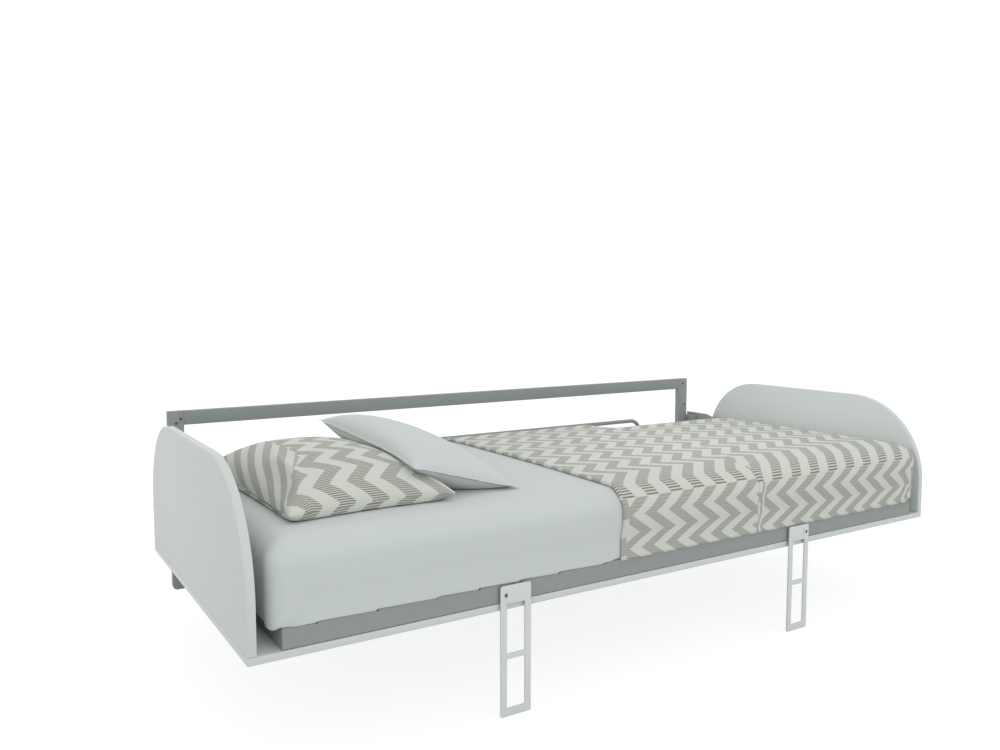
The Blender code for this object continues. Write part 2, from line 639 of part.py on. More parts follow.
def build_arms(steel, zinc, bed):
    """The arms that hang the base on the bed's axis, and the studs for the gas springs."""
    foot = FRAME_BOTTOM + SEAT_GAP
    corners = ((PIVOT_Y - ARM_FOOT_AHEAD, foot), (PIVOT_Y + ARM_FOOT_BEHIND, foot),
               (PIVOT_Y + ARM_EYE_RADIUS, PIVOT_Z + ARM_EYE_RADIUS),
               (PIVOT_Y - ARM_EYE_RADIUS, PIVOT_Z + ARM_EYE_RADIUS))
    radii = (BRACKET_EDGE_RADIUS, BRACKET_EDGE_RADIUS, ARM_EYE_RADIUS, ARM_EYE_RADIUS)
    outline = rounded_outline(corners, radii, ARC_STEPS)
    for side, sign in SIDES:
        arm = piece(f"swing_arm_{side}", slab(outline, "X", sign * ARM_INNER, sign * ARM_OUTER),
                    steel, bed)
        inner = sorted((sign * (FRAME_HALF + SEAT_GAP), sign * (ARM_INNER + ARM_THICKNESS / 2)))
        join(arm, block((inner[0], PIVOT_Y - ARM_FOOT_AHEAD + BRACKET_EDGE_RADIUS,
                         foot + BRACKET_EDGE_RADIUS),
                        (inner[1], PIVOT_Y + ARM_FOOT_BEHIND - BRACKET_EDGE_RADIUS,
                         foot + ARM_BLOCK_HEIGHT)), f"arm_block_{side}")
        hole = PIVOT_BOLT_RADIUS + SEAT_GAP
        start = BED_PIVOT + Vector((sign * (ARM_INNER - CUT_OVERRUN), 0, 0))
        cut(arm, turned(((0, hole), (ARM_THICKNESS + 2 * CUT_OVERRUN, hole)), start,
                        (sign, 0, 0)), f"arm_pivot_hole_{side}")
        start = FRAME_HALF + SEAT_GAP
        reach = SPRING_X - SPRING_RADIUS - SEAT_GAP - start
        profile = ((0, STUD_FLANGE_RADIUS), (STUD_FLANGE_THICKNESS, STUD_FLANGE_RADIUS),
                   (STUD_FLANGE_THICKNESS, STUD_RADIUS), (reach, STUD_RADIUS))
        stud = piece(f"spring_stud_{side}",
                     turned(profile, SPRING_STUD + Vector((sign * start, 0, 0)), (sign, 0, 0)),
                     zinc, bed)
        smooth_round(stud)


def bend(centre, start_angle, stop_angle, radius, u_axis, v_axis):
    """Points along a bend in the plane of two unit vectors."""
    points = []
    for step in range(ARC_STEPS + 1):
        angle = start_angle + (stop_angle - start_angle) * step / ARC_STEPS
        points.append(centre + radius * (math.cos(angle) * u_axis + math.sin(angle) * v_axis))
    return points


def build_retainer(steel, bed):
    """The bent bar behind the mattress, welded to the back of the rear rail."""
    y = MATTRESS_BACK + RETAINER_BEHIND
    top = MATTRESS_SHOULDER - RETAINER_BELOW_TOP
    foot = FRAME_BOTTOM + RETAINER_FOOT_RISE
    x_axis, y_axis, z_axis = Vector((1, 0, 0)), Vector((0, 1, 0)), Vector((0, 0, 1))
    half_route = [Vector((RETAINER_HALF_SPAN, BED_BACK + SEAT_GAP, foot))]
    centre = Vector((RETAINER_HALF_SPAN, y - RETAINER_FOOT_BEND, foot + RETAINER_FOOT_BEND))
    half_route += bend(centre, -math.pi / 2, 0, RETAINER_FOOT_BEND, y_axis, z_axis)
    centre = Vector((RETAINER_HALF_SPAN - RETAINER_TOP_BEND, y, top - RETAINER_TOP_BEND))
    half_route += bend(centre, 0, math.pi / 2, RETAINER_TOP_BEND, x_axis, z_axis)
    other_half = [Vector((-point.x, point.y, point.z)) for point in reversed(half_route)]
    route = half_route + other_half
    shape = bmesh.new()
    rings = []
    for index, point in enumerate(route):
        before = route[max(index - 1, 0)]
        after = route[min(index + 1, len(route) - 1)]
        along = (after - before).normalized()
        if index in (0, len(route) - 1):
            along = y_axis if index == 0 else -y_axis
        # Each ring starts on the outer side of the bar, so that the rings don't twist.
        outward = x_axis * (1 if point.x > 0 else -1) + z_axis
        outward = (outward - outward.project(along)).normalized()
        across = along.cross(outward)
        ring = []
        for step in range(BAR_STEPS):
            angle = math.tau * step / BAR_STEPS
            offset = outward * math.cos(angle) + across * math.sin(angle)
            ring.append(shape.verts.new(point + RETAINER_RADIUS * offset))
        rings.append(ring)
    close_rings(shape, rings)
    bar = piece("mattress_retainer", shape, steel, bed)
    smooth_round(bar)


def plan_ring(inset):
    """The plan outline of the mattress drawn in by inset, counter-clockwise from front left."""
    radius = max(MATTRESS_CORNER_RADIUS - inset, MATTRESS_WAIST)
    x = MATTRESS_HALF - inset - radius
    y_low = MATTRESS_FRONT + inset + radius
    y_high = MATTRESS_BACK - inset - radius
    centres = ((-x, y_low, 180), (x, y_low, 270), (x, y_high, 360), (-x, y_high, 450))
    cells = (MATTRESS_SIDE_CELLS, MATTRESS_END_CELLS, MATTRESS_SIDE_CELLS, MATTRESS_END_CELLS)
    points = []
    for index, (x, y, start) in enumerate(centres):
        for step in range(SMALL_ARC_STEPS + 1):
            angle = math.radians(start + 90 * step / SMALL_ARC_STEPS)
            points.append(Vector((x + radius * math.cos(angle), y + radius * math.sin(angle))))
        following = centres[(index + 1) % len(centres)]
        target = Vector((following[0] + radius * math.cos(angle),
                         following[1] + radius * math.sin(angle)))
        last = points[-1]
        for step in range(1, cells[index]):
            points.append(last.lerp(target, step / cells[index]))
    return points


def mattress_rings():
    """Pairs of (inset, height) from the lowest ring of the mattress up to the highest."""
    rings = []
    for step in range(MATTRESS_UNDER_STEPS + 1):
        angle = math.pi / 2 * step / MATTRESS_UNDER_STEPS
        rings.append((MATTRESS_BOTTOM_RADIUS * (1 - math.sin(angle)),
                      MATTRESS_BOTTOM + MATTRESS_BOTTOM_RADIUS * (1 - math.cos(angle))))
    side_low = MATTRESS_BOTTOM + MATTRESS_BOTTOM_RADIUS
    side_high = MATTRESS_SHOULDER - MATTRESS_TOP_RADIUS
    for share in MATTRESS_SIDE_SHARES:
        height = side_low + (side_high - side_low) * share
        rings.append((MATTRESS_WAIST * math.sin(math.pi * share), height))
    for step in range(SMALL_ARC_STEPS + 1):
        angle = math.pi / 2 * step / SMALL_ARC_STEPS
        rings.append((MATTRESS_TOP_RADIUS * (1 - math.cos(angle)),
                      side_high + MATTRESS_TOP_RADIUS * math.sin(angle)))
    for share in MATTRESS_TOP_SHARES:
        rings.append((MATTRESS_DEPTH / 2 * share,
                      MATTRESS_SHOULDER + MATTRESS_CROWN * (1 - (1 - share) ** 2)))
    return rings


def build_mattress(sheet, bed):
    """A crowned block with rounded corners and slightly drawn-in sides."""
    shape = bmesh.new()
    rings = []
    for inset, height in mattress_rings():
        rings.append([shape.verts.new((point.x, point.y, height)) for point in plan_ring(inset)])
    close_rings(shape, rings)
    mattress = piece("mattress", shape, sheet, bed)
    smooth_round(mattress)


def coverlet_path(inset, start_x):
    """The open plan path of the coverlet: front side, foot end, back side, ending at start_x."""
    corner_x = MATTRESS_HALF - inset - max(MATTRESS_CORNER_RADIUS - inset, MATTRESS_WAIST)
    foot = [point for point in plan_ring(inset) if point.x > corner_x - SAME_PLACE]
    run = corner_x - start_x
    front_y, back_y = MATTRESS_FRONT + inset, MATTRESS_BACK - inset
    path = [Vector((start_x + run * step / COVERLET_CELLS, front_y))
            for step in range(COVERLET_CELLS)]
    path += foot
    path += [Vector((corner_x - run * step / COVERLET_CELLS, back_y))
             for step in range(1, COVERLET_CELLS + 1)]
    return path


def hem_height(point):
    """How far down the coverlet hangs: to the base in front, less at the foot, little behind."""
    low = FRAME_TOP + COVERLET_HEM_RISE
    high = MATTRESS_SHOULDER - COVERLET_BACK_DROP
    share = (point.y - MATTRESS_FRONT - COVERLET_FOOT_HANG) / COVERLET_FOOT_RUN
    share = min(max(share, 0), 1)
    return low + (high - low) * share


def build_coverlet(fabric, bed):
    """A quilted cover over the foot of the mattress, with waves where it hangs in front."""
    start_x = MATTRESS_HALF - COVERLET_REACH
    side_high = MATTRESS_SHOULDER - MATTRESS_TOP_RADIUS
    upper = [(inset, height) for inset, height in mattress_rings() if height >= side_high]
    shape = bmesh.new()
    rings = []
    outer = coverlet_path(-COVERLET_GAP, start_x)
    for share in COVERLET_HANG_SHARES:
        ring = []
        for point in outer:
            low = hem_height(point)
            wave = 0
            if point.y < MATTRESS_MIDDLE and point.x < MATTRESS_HALF - MATTRESS_CORNER_RADIUS:
                phase = math.tau * (point.x - start_x) / COVERLET_WAVE_LENGTH
                wave = COVERLET_WAVE * (1 - share) * (1 - math.cos(phase))
            ring.append(shape.verts.new((point.x, point.y - wave, low + (side_high - low) * share)))
        rings.append(ring)
    for inset, height in upper:
        path = coverlet_path(inset - COVERLET_GAP, start_x)
        lift = COVERLET_GAP if height > side_high else 0
        rings.append([shape.verts.new((point.x, point.y, height + lift)) for point in path])
    for ring, following in zip(rings, rings[1:]):
        for step in range(len(ring) - 1):
            shape.faces.new((ring[step], ring[step + 1], following[step + 1], following[step]))
    shape.faces.new(rings[-1])
    coverlet = piece("coverlet", shape, fabric, bed)
    thick = coverlet.modifiers.new("thickness", "SOLIDIFY")
    thick.thickness = COVERLET_THICKNESS
    thick.offset = 1
    thick.use_even_offset = False
    cut(coverlet, block((MATTRESS_HALF - COVERLET_NOTCH, PIVOT_Y - ARM_FOOT_AHEAD - COVERLET_NOTCH,
                         FRAME_BOTTOM),
                        (MATTRESS_HALF + COVERLET_NOTCH, MATTRESS_BACK + COVERLET_NOTCH,
                         PIVOT_Z + ARM_EYE_RADIUS + COVERLET_ARM_GAP)), "coverlet_arm_notch")
    smooth_round(coverlet)


def pillow_crown(u, v):
    """The share of its full rise that a pillow has at a place from -1 to 1 each way."""
    across = 1 - min(abs(u), 1) ** PILLOW_SQUARENESS
    along = 1 - min(abs(v), 1) ** PILLOW_SQUARENESS
    return math.sqrt(max(across * along, 0))


def pillow_place(u, v, width, length, turn, middle):
    """The plan position of a pillow's point: its sides are drawn in between its corners."""
    x = width / 2 * u * (1 - PILLOW_WAIST_SHARE * (1 - v * v))
    y = length / 2 * v * (1 - PILLOW_WAIST_SHARE * (1 - u * u))
    return Vector((middle.x + x * math.cos(turn) - y * math.sin(turn),
                   middle.y + x * math.sin(turn) + y * math.cos(turn)))


def pillow_solid(width, length, turn, middle, heights):
    """A closed pillow. heights(u, v, place) gives its lower and upper surface."""
    shape = bmesh.new()
    across, along = PILLOW_CELLS_ACROSS, PILLOW_CELLS_ALONG
    upper, lower = {}, {}
    for i in range(across + 1):
        for j in range(along + 1):
            u = math.sin(math.pi / 2 * (2 * i / across - 1))
            v = math.sin(math.pi / 2 * (2 * j / along - 1))
            place = pillow_place(u, v, width, length, turn, middle)
            low, high = heights(u, v, place)
            upper[i, j] = shape.verts.new((place.x, place.y, high))
            on_seam = i in (0, across) or j in (0, along)
            lower[i, j] = upper[i, j] if on_seam else shape.verts.new((place.x, place.y, low))
    for i in range(across):
        for j in range(along):
            for layer in (upper, lower):
                corners = (layer[i, j], layer[i + 1, j], layer[i + 1, j + 1], layer[i, j + 1])
                if layer is lower:
                    corners = corners[::-1]
                shape.faces.new(corners)
    return shape


LOWER_PILLOW_MIDDLE = Vector((LOWER_PILLOW_FROM_HEAD - MATTRESS_HALF,
                              BED_FRONT + LOWER_PILLOW_FROM_FRONT))
UPPER_PILLOW_MIDDLE = Vector((UPPER_PILLOW_FROM_HEAD - MATTRESS_HALF,
                              BED_FRONT + UPPER_PILLOW_FROM_FRONT))


def lower_pillow_heights(u, v, place):
    """The patterned pillow lies flat on the mattress."""
    rest = MATTRESS_TOP + PILLOW_GAP
    seam = MATTRESS_TOP + LOWER_PILLOW_SEAM
    rise = LOWER_PILLOW_RISE * pillow_crown(u, v)
    return max(rest, seam - rise), seam + rise


def support_height(place):
    """What the plain pillow rests on: the patterned pillow, bridged down to the mattress."""
    turned_back = place - LOWER_PILLOW_MIDDLE
    cos_turn, sin_turn = math.cos(LOWER_PILLOW_TURN), math.sin(LOWER_PILLOW_TURN)
    u = (cos_turn * turned_back.x + sin_turn * turned_back.y) * 2 / LOWER_PILLOW_WIDTH
    v = (cos_turn * turned_back.y - sin_turn * turned_back.x) * 2 / LOWER_PILLOW_LENGTH
    u, v = u / PILLOW_BRIDGE_SHARE, v / PILLOW_BRIDGE_SHARE
    flat = MATTRESS_TOP + PILLOW_GAP
    if abs(u) >= 1 or abs(v) >= 1:
        return flat
    seam = MATTRESS_TOP + LOWER_PILLOW_SEAM + PILLOW_BRIDGE_GAP
    return max(flat, min(seam, flat + (seam - flat) * pillow_crown(u, v) * 2)
               + LOWER_PILLOW_RISE * pillow_crown(u, v))


def upper_pillow_heights(u, v, place):
    """The plain pillow leans: its side towards the head is raised on the patterned one."""
    support = support_height(place)
    leaning = (MATTRESS_TOP + UPPER_PILLOW_SEAM - UPPER_PILLOW_SIDE_TILT * u
               + UPPER_PILLOW_END_TILT * v)
    seam = max(leaning, support + PILLOW_GAP)
    rise = UPPER_PILLOW_RISE * pillow_crown(u, v)
    return max(support, seam - rise), seam + rise


def build_pillows(patterned, plain, bed):
    """The two pillows at the head."""
    lower = pillow_solid(LOWER_PILLOW_WIDTH, LOWER_PILLOW_LENGTH, LOWER_PILLOW_TURN,
                         LOWER_PILLOW_MIDDLE, lower_pillow_heights)
    smooth_round(piece("pillow_patterned", lower, patterned, bed, wound=True))
    upper = pillow_solid(UPPER_PILLOW_WIDTH, UPPER_PILLOW_LENGTH, UPPER_PILLOW_TURN,
                         UPPER_PILLOW_MIDDLE, upper_pillow_heights)
    smooth_round(piece("pillow_plain", upper, plain, bed, wound=True))


def build_legs(white_steel, zinc, nylon, bed, legs):
    """Flat ladder legs, each on one bolt through a spacer on the base's front rail."""
    half = LEG_WIDTH / 2
    window_half = half - LEG_SIDE_BAR
    for side, sign in SIDES:
        middle = sign * LEG_FROM_MIDDLE
        outline = rounded_outline(((middle - half, FLOOR), (middle + half, FLOOR),
                                   (middle + half, LEG_TOP), (middle - half, LEG_TOP)),
                                  (LEG_CORNER_RADIUS,) * 4, SMALL_ARC_STEPS)
        leg = piece(f"leg_{side}", slab(outline, "Y", LEG_FRONT, LEG_BACK), white_steel, legs[side])
        head = LEG_TOP - LEG_HEAD_HEIGHT
        cross = LEG_TOP - LEG_CROSS_BAR_DROP
        windows = ((cross, head), (FLOOR + LEG_FOOT_BAR, cross - LEG_CROSS_BAR))
        for index, (low, high) in enumerate(windows):
            cut(leg, block((middle - window_half, LEG_FRONT - CUT_OVERRUN, low),
                           (middle + window_half, LEG_BACK + CUT_OVERRUN, high)),
                f"leg_window_{side}_{index + 1}")
        pivot = Vector((sign * LEG_PIVOT_X, 0, LEG_PIVOT_Z))
        hole = LEG_BOLT_RADIUS + SEAT_GAP
        cut(leg, turned(((0, hole), (LEG_THICKNESS + 2 * CUT_OVERRUN, hole)),
                        pivot + Vector((0, LEG_FRONT - CUT_OVERRUN, 0)), (0, 1, 0),
                        SMALL_ROUND_STEPS), f"leg_pivot_hole_{side}")
        spacer = turned_ring(LEG_SPACER_RADIUS, hole, LEG_STANDOFF - 2 * SEAT_GAP,
                             pivot + Vector((0, LEG_BACK + SEAT_GAP, 0)), (0, 1, 0),
                             SMALL_ROUND_STEPS)
        smooth_round(piece(f"leg_spacer_{side}", spacer, nylon, bed))
        head_back = LEG_FRONT - SEAT_GAP
        shank = BED_FRONT + LEG_BOLT_REACH - head_back
        profile = ((0, LEG_BOLT_HEAD_RADIUS - LEG_BOLT_HEAD_THICKNESS / 2),
                   (LEG_BOLT_HEAD_THICKNESS / 2, LEG_BOLT_HEAD_RADIUS),
                   (LEG_BOLT_HEAD_THICKNESS, LEG_BOLT_HEAD_RADIUS),
                   (LEG_BOLT_HEAD_THICKNESS, LEG_BOLT_RADIUS),
                   (LEG_BOLT_HEAD_THICKNESS + shank, LEG_BOLT_RADIUS))
        bolt = turned(profile, pivot + Vector((0, head_back - LEG_BOLT_HEAD_THICKNESS, 0)),
                      (0, 1, 0), SMALL_ROUND_STEPS)
        smooth_round(piece(f"leg_bolt_{side}", bolt, zinc, bed))


def socket_profile():
    """The round end of a gas spring about its stud, as (distance, radius) pairs up to its neck."""
    points = []
    for step in range(ARC_STEPS + 1):
        turn = SOCKET_NECK_ANGLE - SOCKET_FACE_ANGLE
        angle = SOCKET_FACE_ANGLE + turn * step / ARC_STEPS
        points.append((-SPRING_RADIUS * math.cos(angle), SPRING_RADIUS * math.sin(angle)))
    return points


def build_gas_springs(black, chrome, cylinders, rods):
    """Each spring is a tube on the wall bracket's stud and a rod to the stud on the base."""
    along = (SPRING_STUD - SPRING_ANCHOR).normalized()
    span = (SPRING_STUD - SPRING_ANCHOR).length
    neck = 2 * SPRING_RADIUS
    for side, sign in SIDES:
        start = SPRING_ANCHOR + Vector((sign * SPRING_X, 0, 0))
        profile = socket_profile()
        profile += [(neck, SPRING_NECK_RADIUS), (neck + SPRING_NECK_RADIUS / 2, SPRING_RADIUS),
                    (SPRING_TUBE_LENGTH, SPRING_RADIUS), (SPRING_TUBE_LENGTH, SPRING_BORE_RADIUS),
                    (SPRING_BORE_FLOOR, SPRING_BORE_RADIUS)]
        tube = turned(profile, start, along, SMALL_ROUND_STEPS)
        smooth_round(piece(f"gas_cylinder_{side}", tube, black, cylinders[side]))
        profile = [(span - ROD_LENGTH, ROD_RADIUS), (span - neck, ROD_RADIUS)]
        profile += [(span - distance, radius) for distance, radius in reversed(socket_profile())]
        rod = turned(profile, start, along, SMALL_ROUND_STEPS)
        smooth_round(piece(f"gas_rod_{side}", rod, chrome, rods[side]))


def build_bed():
    """Make every piece of the bed."""
    clear_scene()
    white = finish("white_board", (0.53, 0.57, 0.56), 0.45)
    steel = finish("grey_steel", (0.25, 0.28, 0.27), 0.5)
    white_steel = finish("white_steel", (0.58, 0.61, 0.60), 0.4)
    zinc = finish("zinc_bolt", (0.45, 0.46, 0.46), 0.35, 1.0)
    beech = finish("beech_slat", (0.62, 0.44, 0.27), 0.6)
    nylon = finish("nylon_spacer", (0.10, 0.10, 0.10), 0.6)
    black = finish("gas_spring_black", (0.02, 0.02, 0.02), 0.35)
    chrome = finish("chrome_rod", (0.7, 0.7, 0.72), 0.12, 1.0)
    sheet = finish("fitted_sheet", (0.58, 0.62, 0.61), 0.9)
    patterned = finish("zigzag_cloth", (0.52, 0.51, 0.47), 0.9)
    plain = finish("plain_cloth", (0.62, 0.65, 0.64), 0.9)

    wall = carrier("wall", Vector((0, 0, 0)))
    bed = carrier("bed_pivot", BED_PIVOT)
    legs, cylinders, rods = {}, {}, {}
    for side, sign in SIDES:
        legs[side] = carrier(f"leg_pivot_{side}", Vector((sign * LEG_PIVOT_X, LEG_BACK,
                                                          LEG_PIVOT_Z)))
        cylinders[side] = carrier(f"spring_pivot_{side}",
                                  SPRING_ANCHOR + Vector((sign * SPRING_X, 0, 0)))
        rods[side] = carrier(f"rod_end_{side}", SPRING_STUD + Vector((sign * SPRING_X, 0, 0)))

    build_wall_frame(steel, zinc, wall)
    build_brackets(steel, zinc, wall)
    build_boards(white, bed)
    build_base(steel, bed)
    build_slats(beech, bed)
    build_arms(steel, zinc, bed)
    build_retainer(steel, bed)
    build_mattress(sheet, bed)
    build_coverlet(patterned, bed)
    build_pillows(patterned, plain, bed)
    build_legs(white_steel, zinc, nylon, bed, legs)
    build_gas_springs(black, chrome, cylinders, rods)


build_bed()
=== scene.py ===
"""A wall bed that folds up sideways: finished boards, coated steel, bedding and a plain studio.

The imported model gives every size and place. Each operator makes one piece or a group of like
pieces, and main() calls them in order.
"""

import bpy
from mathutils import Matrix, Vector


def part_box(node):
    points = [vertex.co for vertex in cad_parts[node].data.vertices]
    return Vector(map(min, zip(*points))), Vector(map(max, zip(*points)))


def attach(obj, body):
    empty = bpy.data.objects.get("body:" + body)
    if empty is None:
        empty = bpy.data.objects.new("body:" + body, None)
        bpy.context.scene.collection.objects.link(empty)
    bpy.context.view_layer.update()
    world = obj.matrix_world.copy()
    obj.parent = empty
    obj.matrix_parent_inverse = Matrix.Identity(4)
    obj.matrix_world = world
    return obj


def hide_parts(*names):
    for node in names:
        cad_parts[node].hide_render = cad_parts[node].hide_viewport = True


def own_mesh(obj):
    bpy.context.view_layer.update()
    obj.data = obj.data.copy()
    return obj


bl_info = {
    "name": "Folding Bed",
    "version": (1, 0, 0),
    "blender": (4, 5, 0),
    "location": "3D View > Sidebar > Folding Bed",
    "description": "Makes the finished pieces of a wall bed around its packed model",
    "category": "Object",
}

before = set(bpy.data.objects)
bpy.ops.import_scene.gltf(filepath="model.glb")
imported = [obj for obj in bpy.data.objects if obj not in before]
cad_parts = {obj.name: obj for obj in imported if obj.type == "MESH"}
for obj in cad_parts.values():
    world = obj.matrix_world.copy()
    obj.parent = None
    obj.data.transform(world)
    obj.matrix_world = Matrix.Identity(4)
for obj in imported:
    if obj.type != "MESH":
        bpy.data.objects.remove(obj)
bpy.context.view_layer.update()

import math

import bmesh
import bpy
from bpy.props import FloatProperty, FloatVectorProperty, PointerProperty
from bpy.types import Operator, Panel, PropertyGroup
from mathutils import Vector, noise
from mathutils.bvhtree import BVHTree

SIDES = ("left", "right")
SLATS = [f"slat_{index:02d}" for index in range(1, 17)]
X_AXIS, Y_AXIS, Z_AXIS = Vector((1, 0, 0)), Vector((0, 1, 0)), Vector((0, 0, 1))
MM = 0.001
SMOOTH_ANGLE = math.radians(35)
SHARP_ANGLE = math.radians(40)
FLAT_ANGLE = math.radians(0.5)
SAME_PLACE = 0.00002
SAME_WAY = 0.999

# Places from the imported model
PANEL_LOW, PANEL_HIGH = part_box("bottom_panel")
RAIL_LOW, RAIL_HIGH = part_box("frame_rail_front")
MATTRESS_LOW, MATTRESS_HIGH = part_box("mattress")
FLOOR_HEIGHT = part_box("leg_right")[0].z

# Form of the mattress: a crowned top, a round edge, and corners fuller than an arc
MATTRESS_CROWN = 0.005
MATTRESS_CORNER_RADIUS = 0.065
MATTRESS_TOP_RADIUS = 0.050
HEAD_FULLNESS, FOOT_FULLNESS = 0.34, 0.24
MATTRESS_SHOULDER = MATTRESS_HIGH.z - MATTRESS_CROWN
TOP_RUN = MATTRESS_CORNER_RADIUS - MATTRESS_TOP_RADIUS
CENTRE_X = MATTRESS_HIGH.x - MATTRESS_CORNER_RADIUS
FRONT_LINE = MATTRESS_LOW.y + MATTRESS_CORNER_RADIUS
BACK_LINE = MATTRESS_HIGH.y - MATTRESS_CORNER_RADIUS

# Its front bulges: how far, and between which drops from the shoulder it grows and fades
FRONT_BULGE = 0.0066
BULGE_GROWS = (0.004, 0.048)
BULGE_FADES = (0.075, 0.122)

# Its rear sinks towards the foot end, so that the retainer bar shows there
SINK_DEPTH = 0.028
SINK_ALONG = (0.39, 0.475)
SINK_ACROSS = (-0.285, -0.085)


def hex_colour(code):
    """An sRGB hex value such as C9CECD as linear red, green and blue."""
    channels = [int(code[index:index + 2], 16) / 255 for index in (0, 2, 4)]
    return tuple(c / 12.92 if c <= 0.04045 else ((c + 0.055) / 1.055) ** 2.4 for c in channels)


def length_property(name, description, default):
    """A size in metres that a user would change."""
    return FloatProperty(name=name, description=description, default=default, min=0,
                         unit="LENGTH", precision=4)


def colour_property(name, description, code):
    """A colour that a user would change, from its sRGB hex value."""
    return FloatVectorProperty(name=name, description=description, default=hex_colour(code),
                               min=0, max=1, subtype="COLOR", size=3)


class BedSizes(PropertyGroup):
    """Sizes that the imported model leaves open, and the small ones that only finish an edge."""
    board_front_radius: length_property("Board front radius",
                                        "Upper front corner of the end boards", 0.250)
    board_back_radius: length_property("Board back radius",
                                       "Upper rear corner of the end boards", 0.220)
    board_edge: length_property("Board edge", "Rounding of the boards' edge band", 0.0012)
    tube_edge: length_property("Tube edge", "Rounding of the steel tubes' long edges", 0.0025)
    leg_side_bar: length_property("Leg side bar", "Width of a leg's two uprights", 0.016)
    leg_head: length_property("Leg head", "Height of a leg's closed upper end", 0.041)
    leg_cross_bar: length_property("Leg cross bar", "Height of a leg's cross bar", 0.012)
    leg_cross_drop: length_property("Leg cross bar drop",
                                    "From a leg's top to its cross bar", 0.153)
    leg_foot_bar: length_property("Leg foot bar", "Height of a leg's foot bar", 0.0185)
    leg_corner: length_property("Leg corner", "Outer corner radius of a leg", 0.006)
    coverlet_reach: length_property("Coverlet reach", "From the foot end to the hem", 1.165)
    coverlet_loft: length_property("Coverlet loft", "Thickness of the coverlet", 0.0068)
    zigzag_pitch: length_property("Zigzag pitch", "From one dark band to the next", 0.077)
    zigzag_swing: length_property("Zigzag swing", "How far a band swings along the bed", 0.0485)
    zigzag_row: length_property("Zigzag row", "Width of one slanted stretch of a band", 0.050)
    rib_pitch: length_property("Rib pitch", "From one rib of the coverlet to the next", 0.0068)
    pillow_rib_pitch: length_property("Pillow rib pitch", "From one rib of the pillow to the next",
                                      0.0052)


class BedColours(PropertyGroup):
    """The colours of the bed's finishes."""
    board: colour_property("Board", "White melamine faces of the boards", "C8CDCB")
    board_edge: colour_property("Board edge", "Edge band of the boards", "C8CDCB")
    grey_steel: colour_property("Grey steel", "Powder coat of the frames", "8C9290")
    white_steel: colour_property("White steel", "Powder coat of the legs", "CFD4D3")
    sheet: colour_property("Sheet", "Cotton sheet on the mattress", "C4CAC8")
    pillow: colour_property("Plain pillow", "Cotton of the plain pillow", "C6CBCA")
    band_light: colour_property("Light band", "Ground of the zigzag cloth", "CACCC4")
    band_dark: colour_property("Dark band", "Between the ribs of a dark band", "C6C7C0")
    # The ribs' own darker colour, which is partly painted shade where the material lets the ribs
    # stand out
    rib: colour_property("Rib", "Ribs of a dark band", "7A786F")


def add_node(tree, kind, inputs=None, **settings):
    """Add a node with its settings, and set each input or link it to another node's output."""
    node = tree.nodes.new("ShaderNode" + kind)
    for name, value in settings.items():
        setattr(node, name, value)
    for socket, value in (inputs or {}).items():
        if isinstance(value, bpy.types.NodeSocket):
            tree.links.new(value, node.inputs[socket])
        else:
            node.inputs[socket].default_value = value
    return node


def start_material(name, colour, roughness, **sockets):
    """A material whose shader has its constant values on its own sockets."""
    material = bpy.data.materials.new(name)
    material.use_nodes = True
    shader = material.node_tree.nodes["Principled BSDF"]
    shader.inputs["Base Color"].default_value = (*colour, 1)
    shader.inputs["Roughness"].default_value = roughness
    for socket, value in sockets.items():
        shader.inputs[socket.replace("_", " ")].default_value = value
    return material, material.node_tree, shader


def shade_of(colour, factor):
    """A colour made darker or lighter, with its alpha."""
    return (*[min(channel * factor, 1) for channel in colour], 1)


def grained(tree, shader, colour, shift, cell, depth, stretch=(1, 1, 1)):
    """Vary a colour by a share and give it a fine relief, with cells of a real size."""
    place = add_node(tree, "TexCoord").outputs["Object"]
    mapping = add_node(tree, "Mapping", {"Vector": place, "Scale": stretch})
    # The colour varies over patches ten cells wide.
    broad = add_node(tree, "TexNoise",
                     {"Vector": mapping.outputs[0], "Scale": 0.1 / cell, "Detail": 3})
    tint = add_node(tree, "Mix",
                    {"A": shade_of(colour, 1 - shift), "B": shade_of(colour, 1 + shift),
                     "Factor": broad.outputs["Fac"]}, data_type="RGBA")
    tree.links.new(tint.outputs["Result"], shader.inputs["Base Color"])
    fine = add_node(tree, "TexNoise",
                    {"Vector": mapping.outputs[0], "Scale": 1 / cell, "Detail": 2})
    relief = add_node(tree, "Bump",
                      {"Height": fine.outputs["Fac"], "Strength": 1, "Distance": depth})
    tree.links.new(relief.outputs[0], shader.inputs["Normal"])
    return mapping, tint


def fine_finish(name, colour, roughness, shift, cell, depth, **sockets):
    """A material whose only pattern is a fine grain."""
    material, tree, shader = start_material(name, colour, roughness, **sockets)
    grained(tree, shader, colour, shift, cell, depth)
    return material


def melamine_board(name, colour):
    """Chipboard faced with white melamine paper: satin, with a faint pearl texture."""
    # The pearl texture is about 0.5 mm across. It is drawn at 1.5 mm, so that it shows.
    return fine_finish(name, colour, 0.42, shift=0.012, cell=1.5 * MM, depth=0.03 * MM)


def abs_edge_band(name, colour):
    """Extruded ABS edge band: a little smoother and more even than the board's faces."""
    return fine_finish(name, colour, 0.35, shift=0.008, cell=4 * MM, depth=0.02 * MM)


def powder_coat(name, colour, roughness):
    """Polyester powder coat on steel: satin with the fine orange peel of baked powder."""
    return fine_finish(name, colour, roughness, shift=0.02, cell=1.8 * MM, depth=0.05 * MM)


def zinc_plate(name):
    """Bright zinc plating on steel: metal with a soft, slightly cloudy shine."""
    return fine_finish(name, hex_colour("B4B8BA"), 0.34, shift=0.05, cell=1.2 * MM,
                       depth=0.02 * MM, Metallic=1.0)


def blackened_steel(name):
    """Dull, dark steel of the screws and the rivets' mandrel ends, also laid into the leg bolts'
    sockets as painted shade.
    """
    return fine_finish(name, hex_colour("4A4F4E"), 0.55, shift=0.05, cell=1 * MM,
                       depth=0.03 * MM, Metallic=0.6)


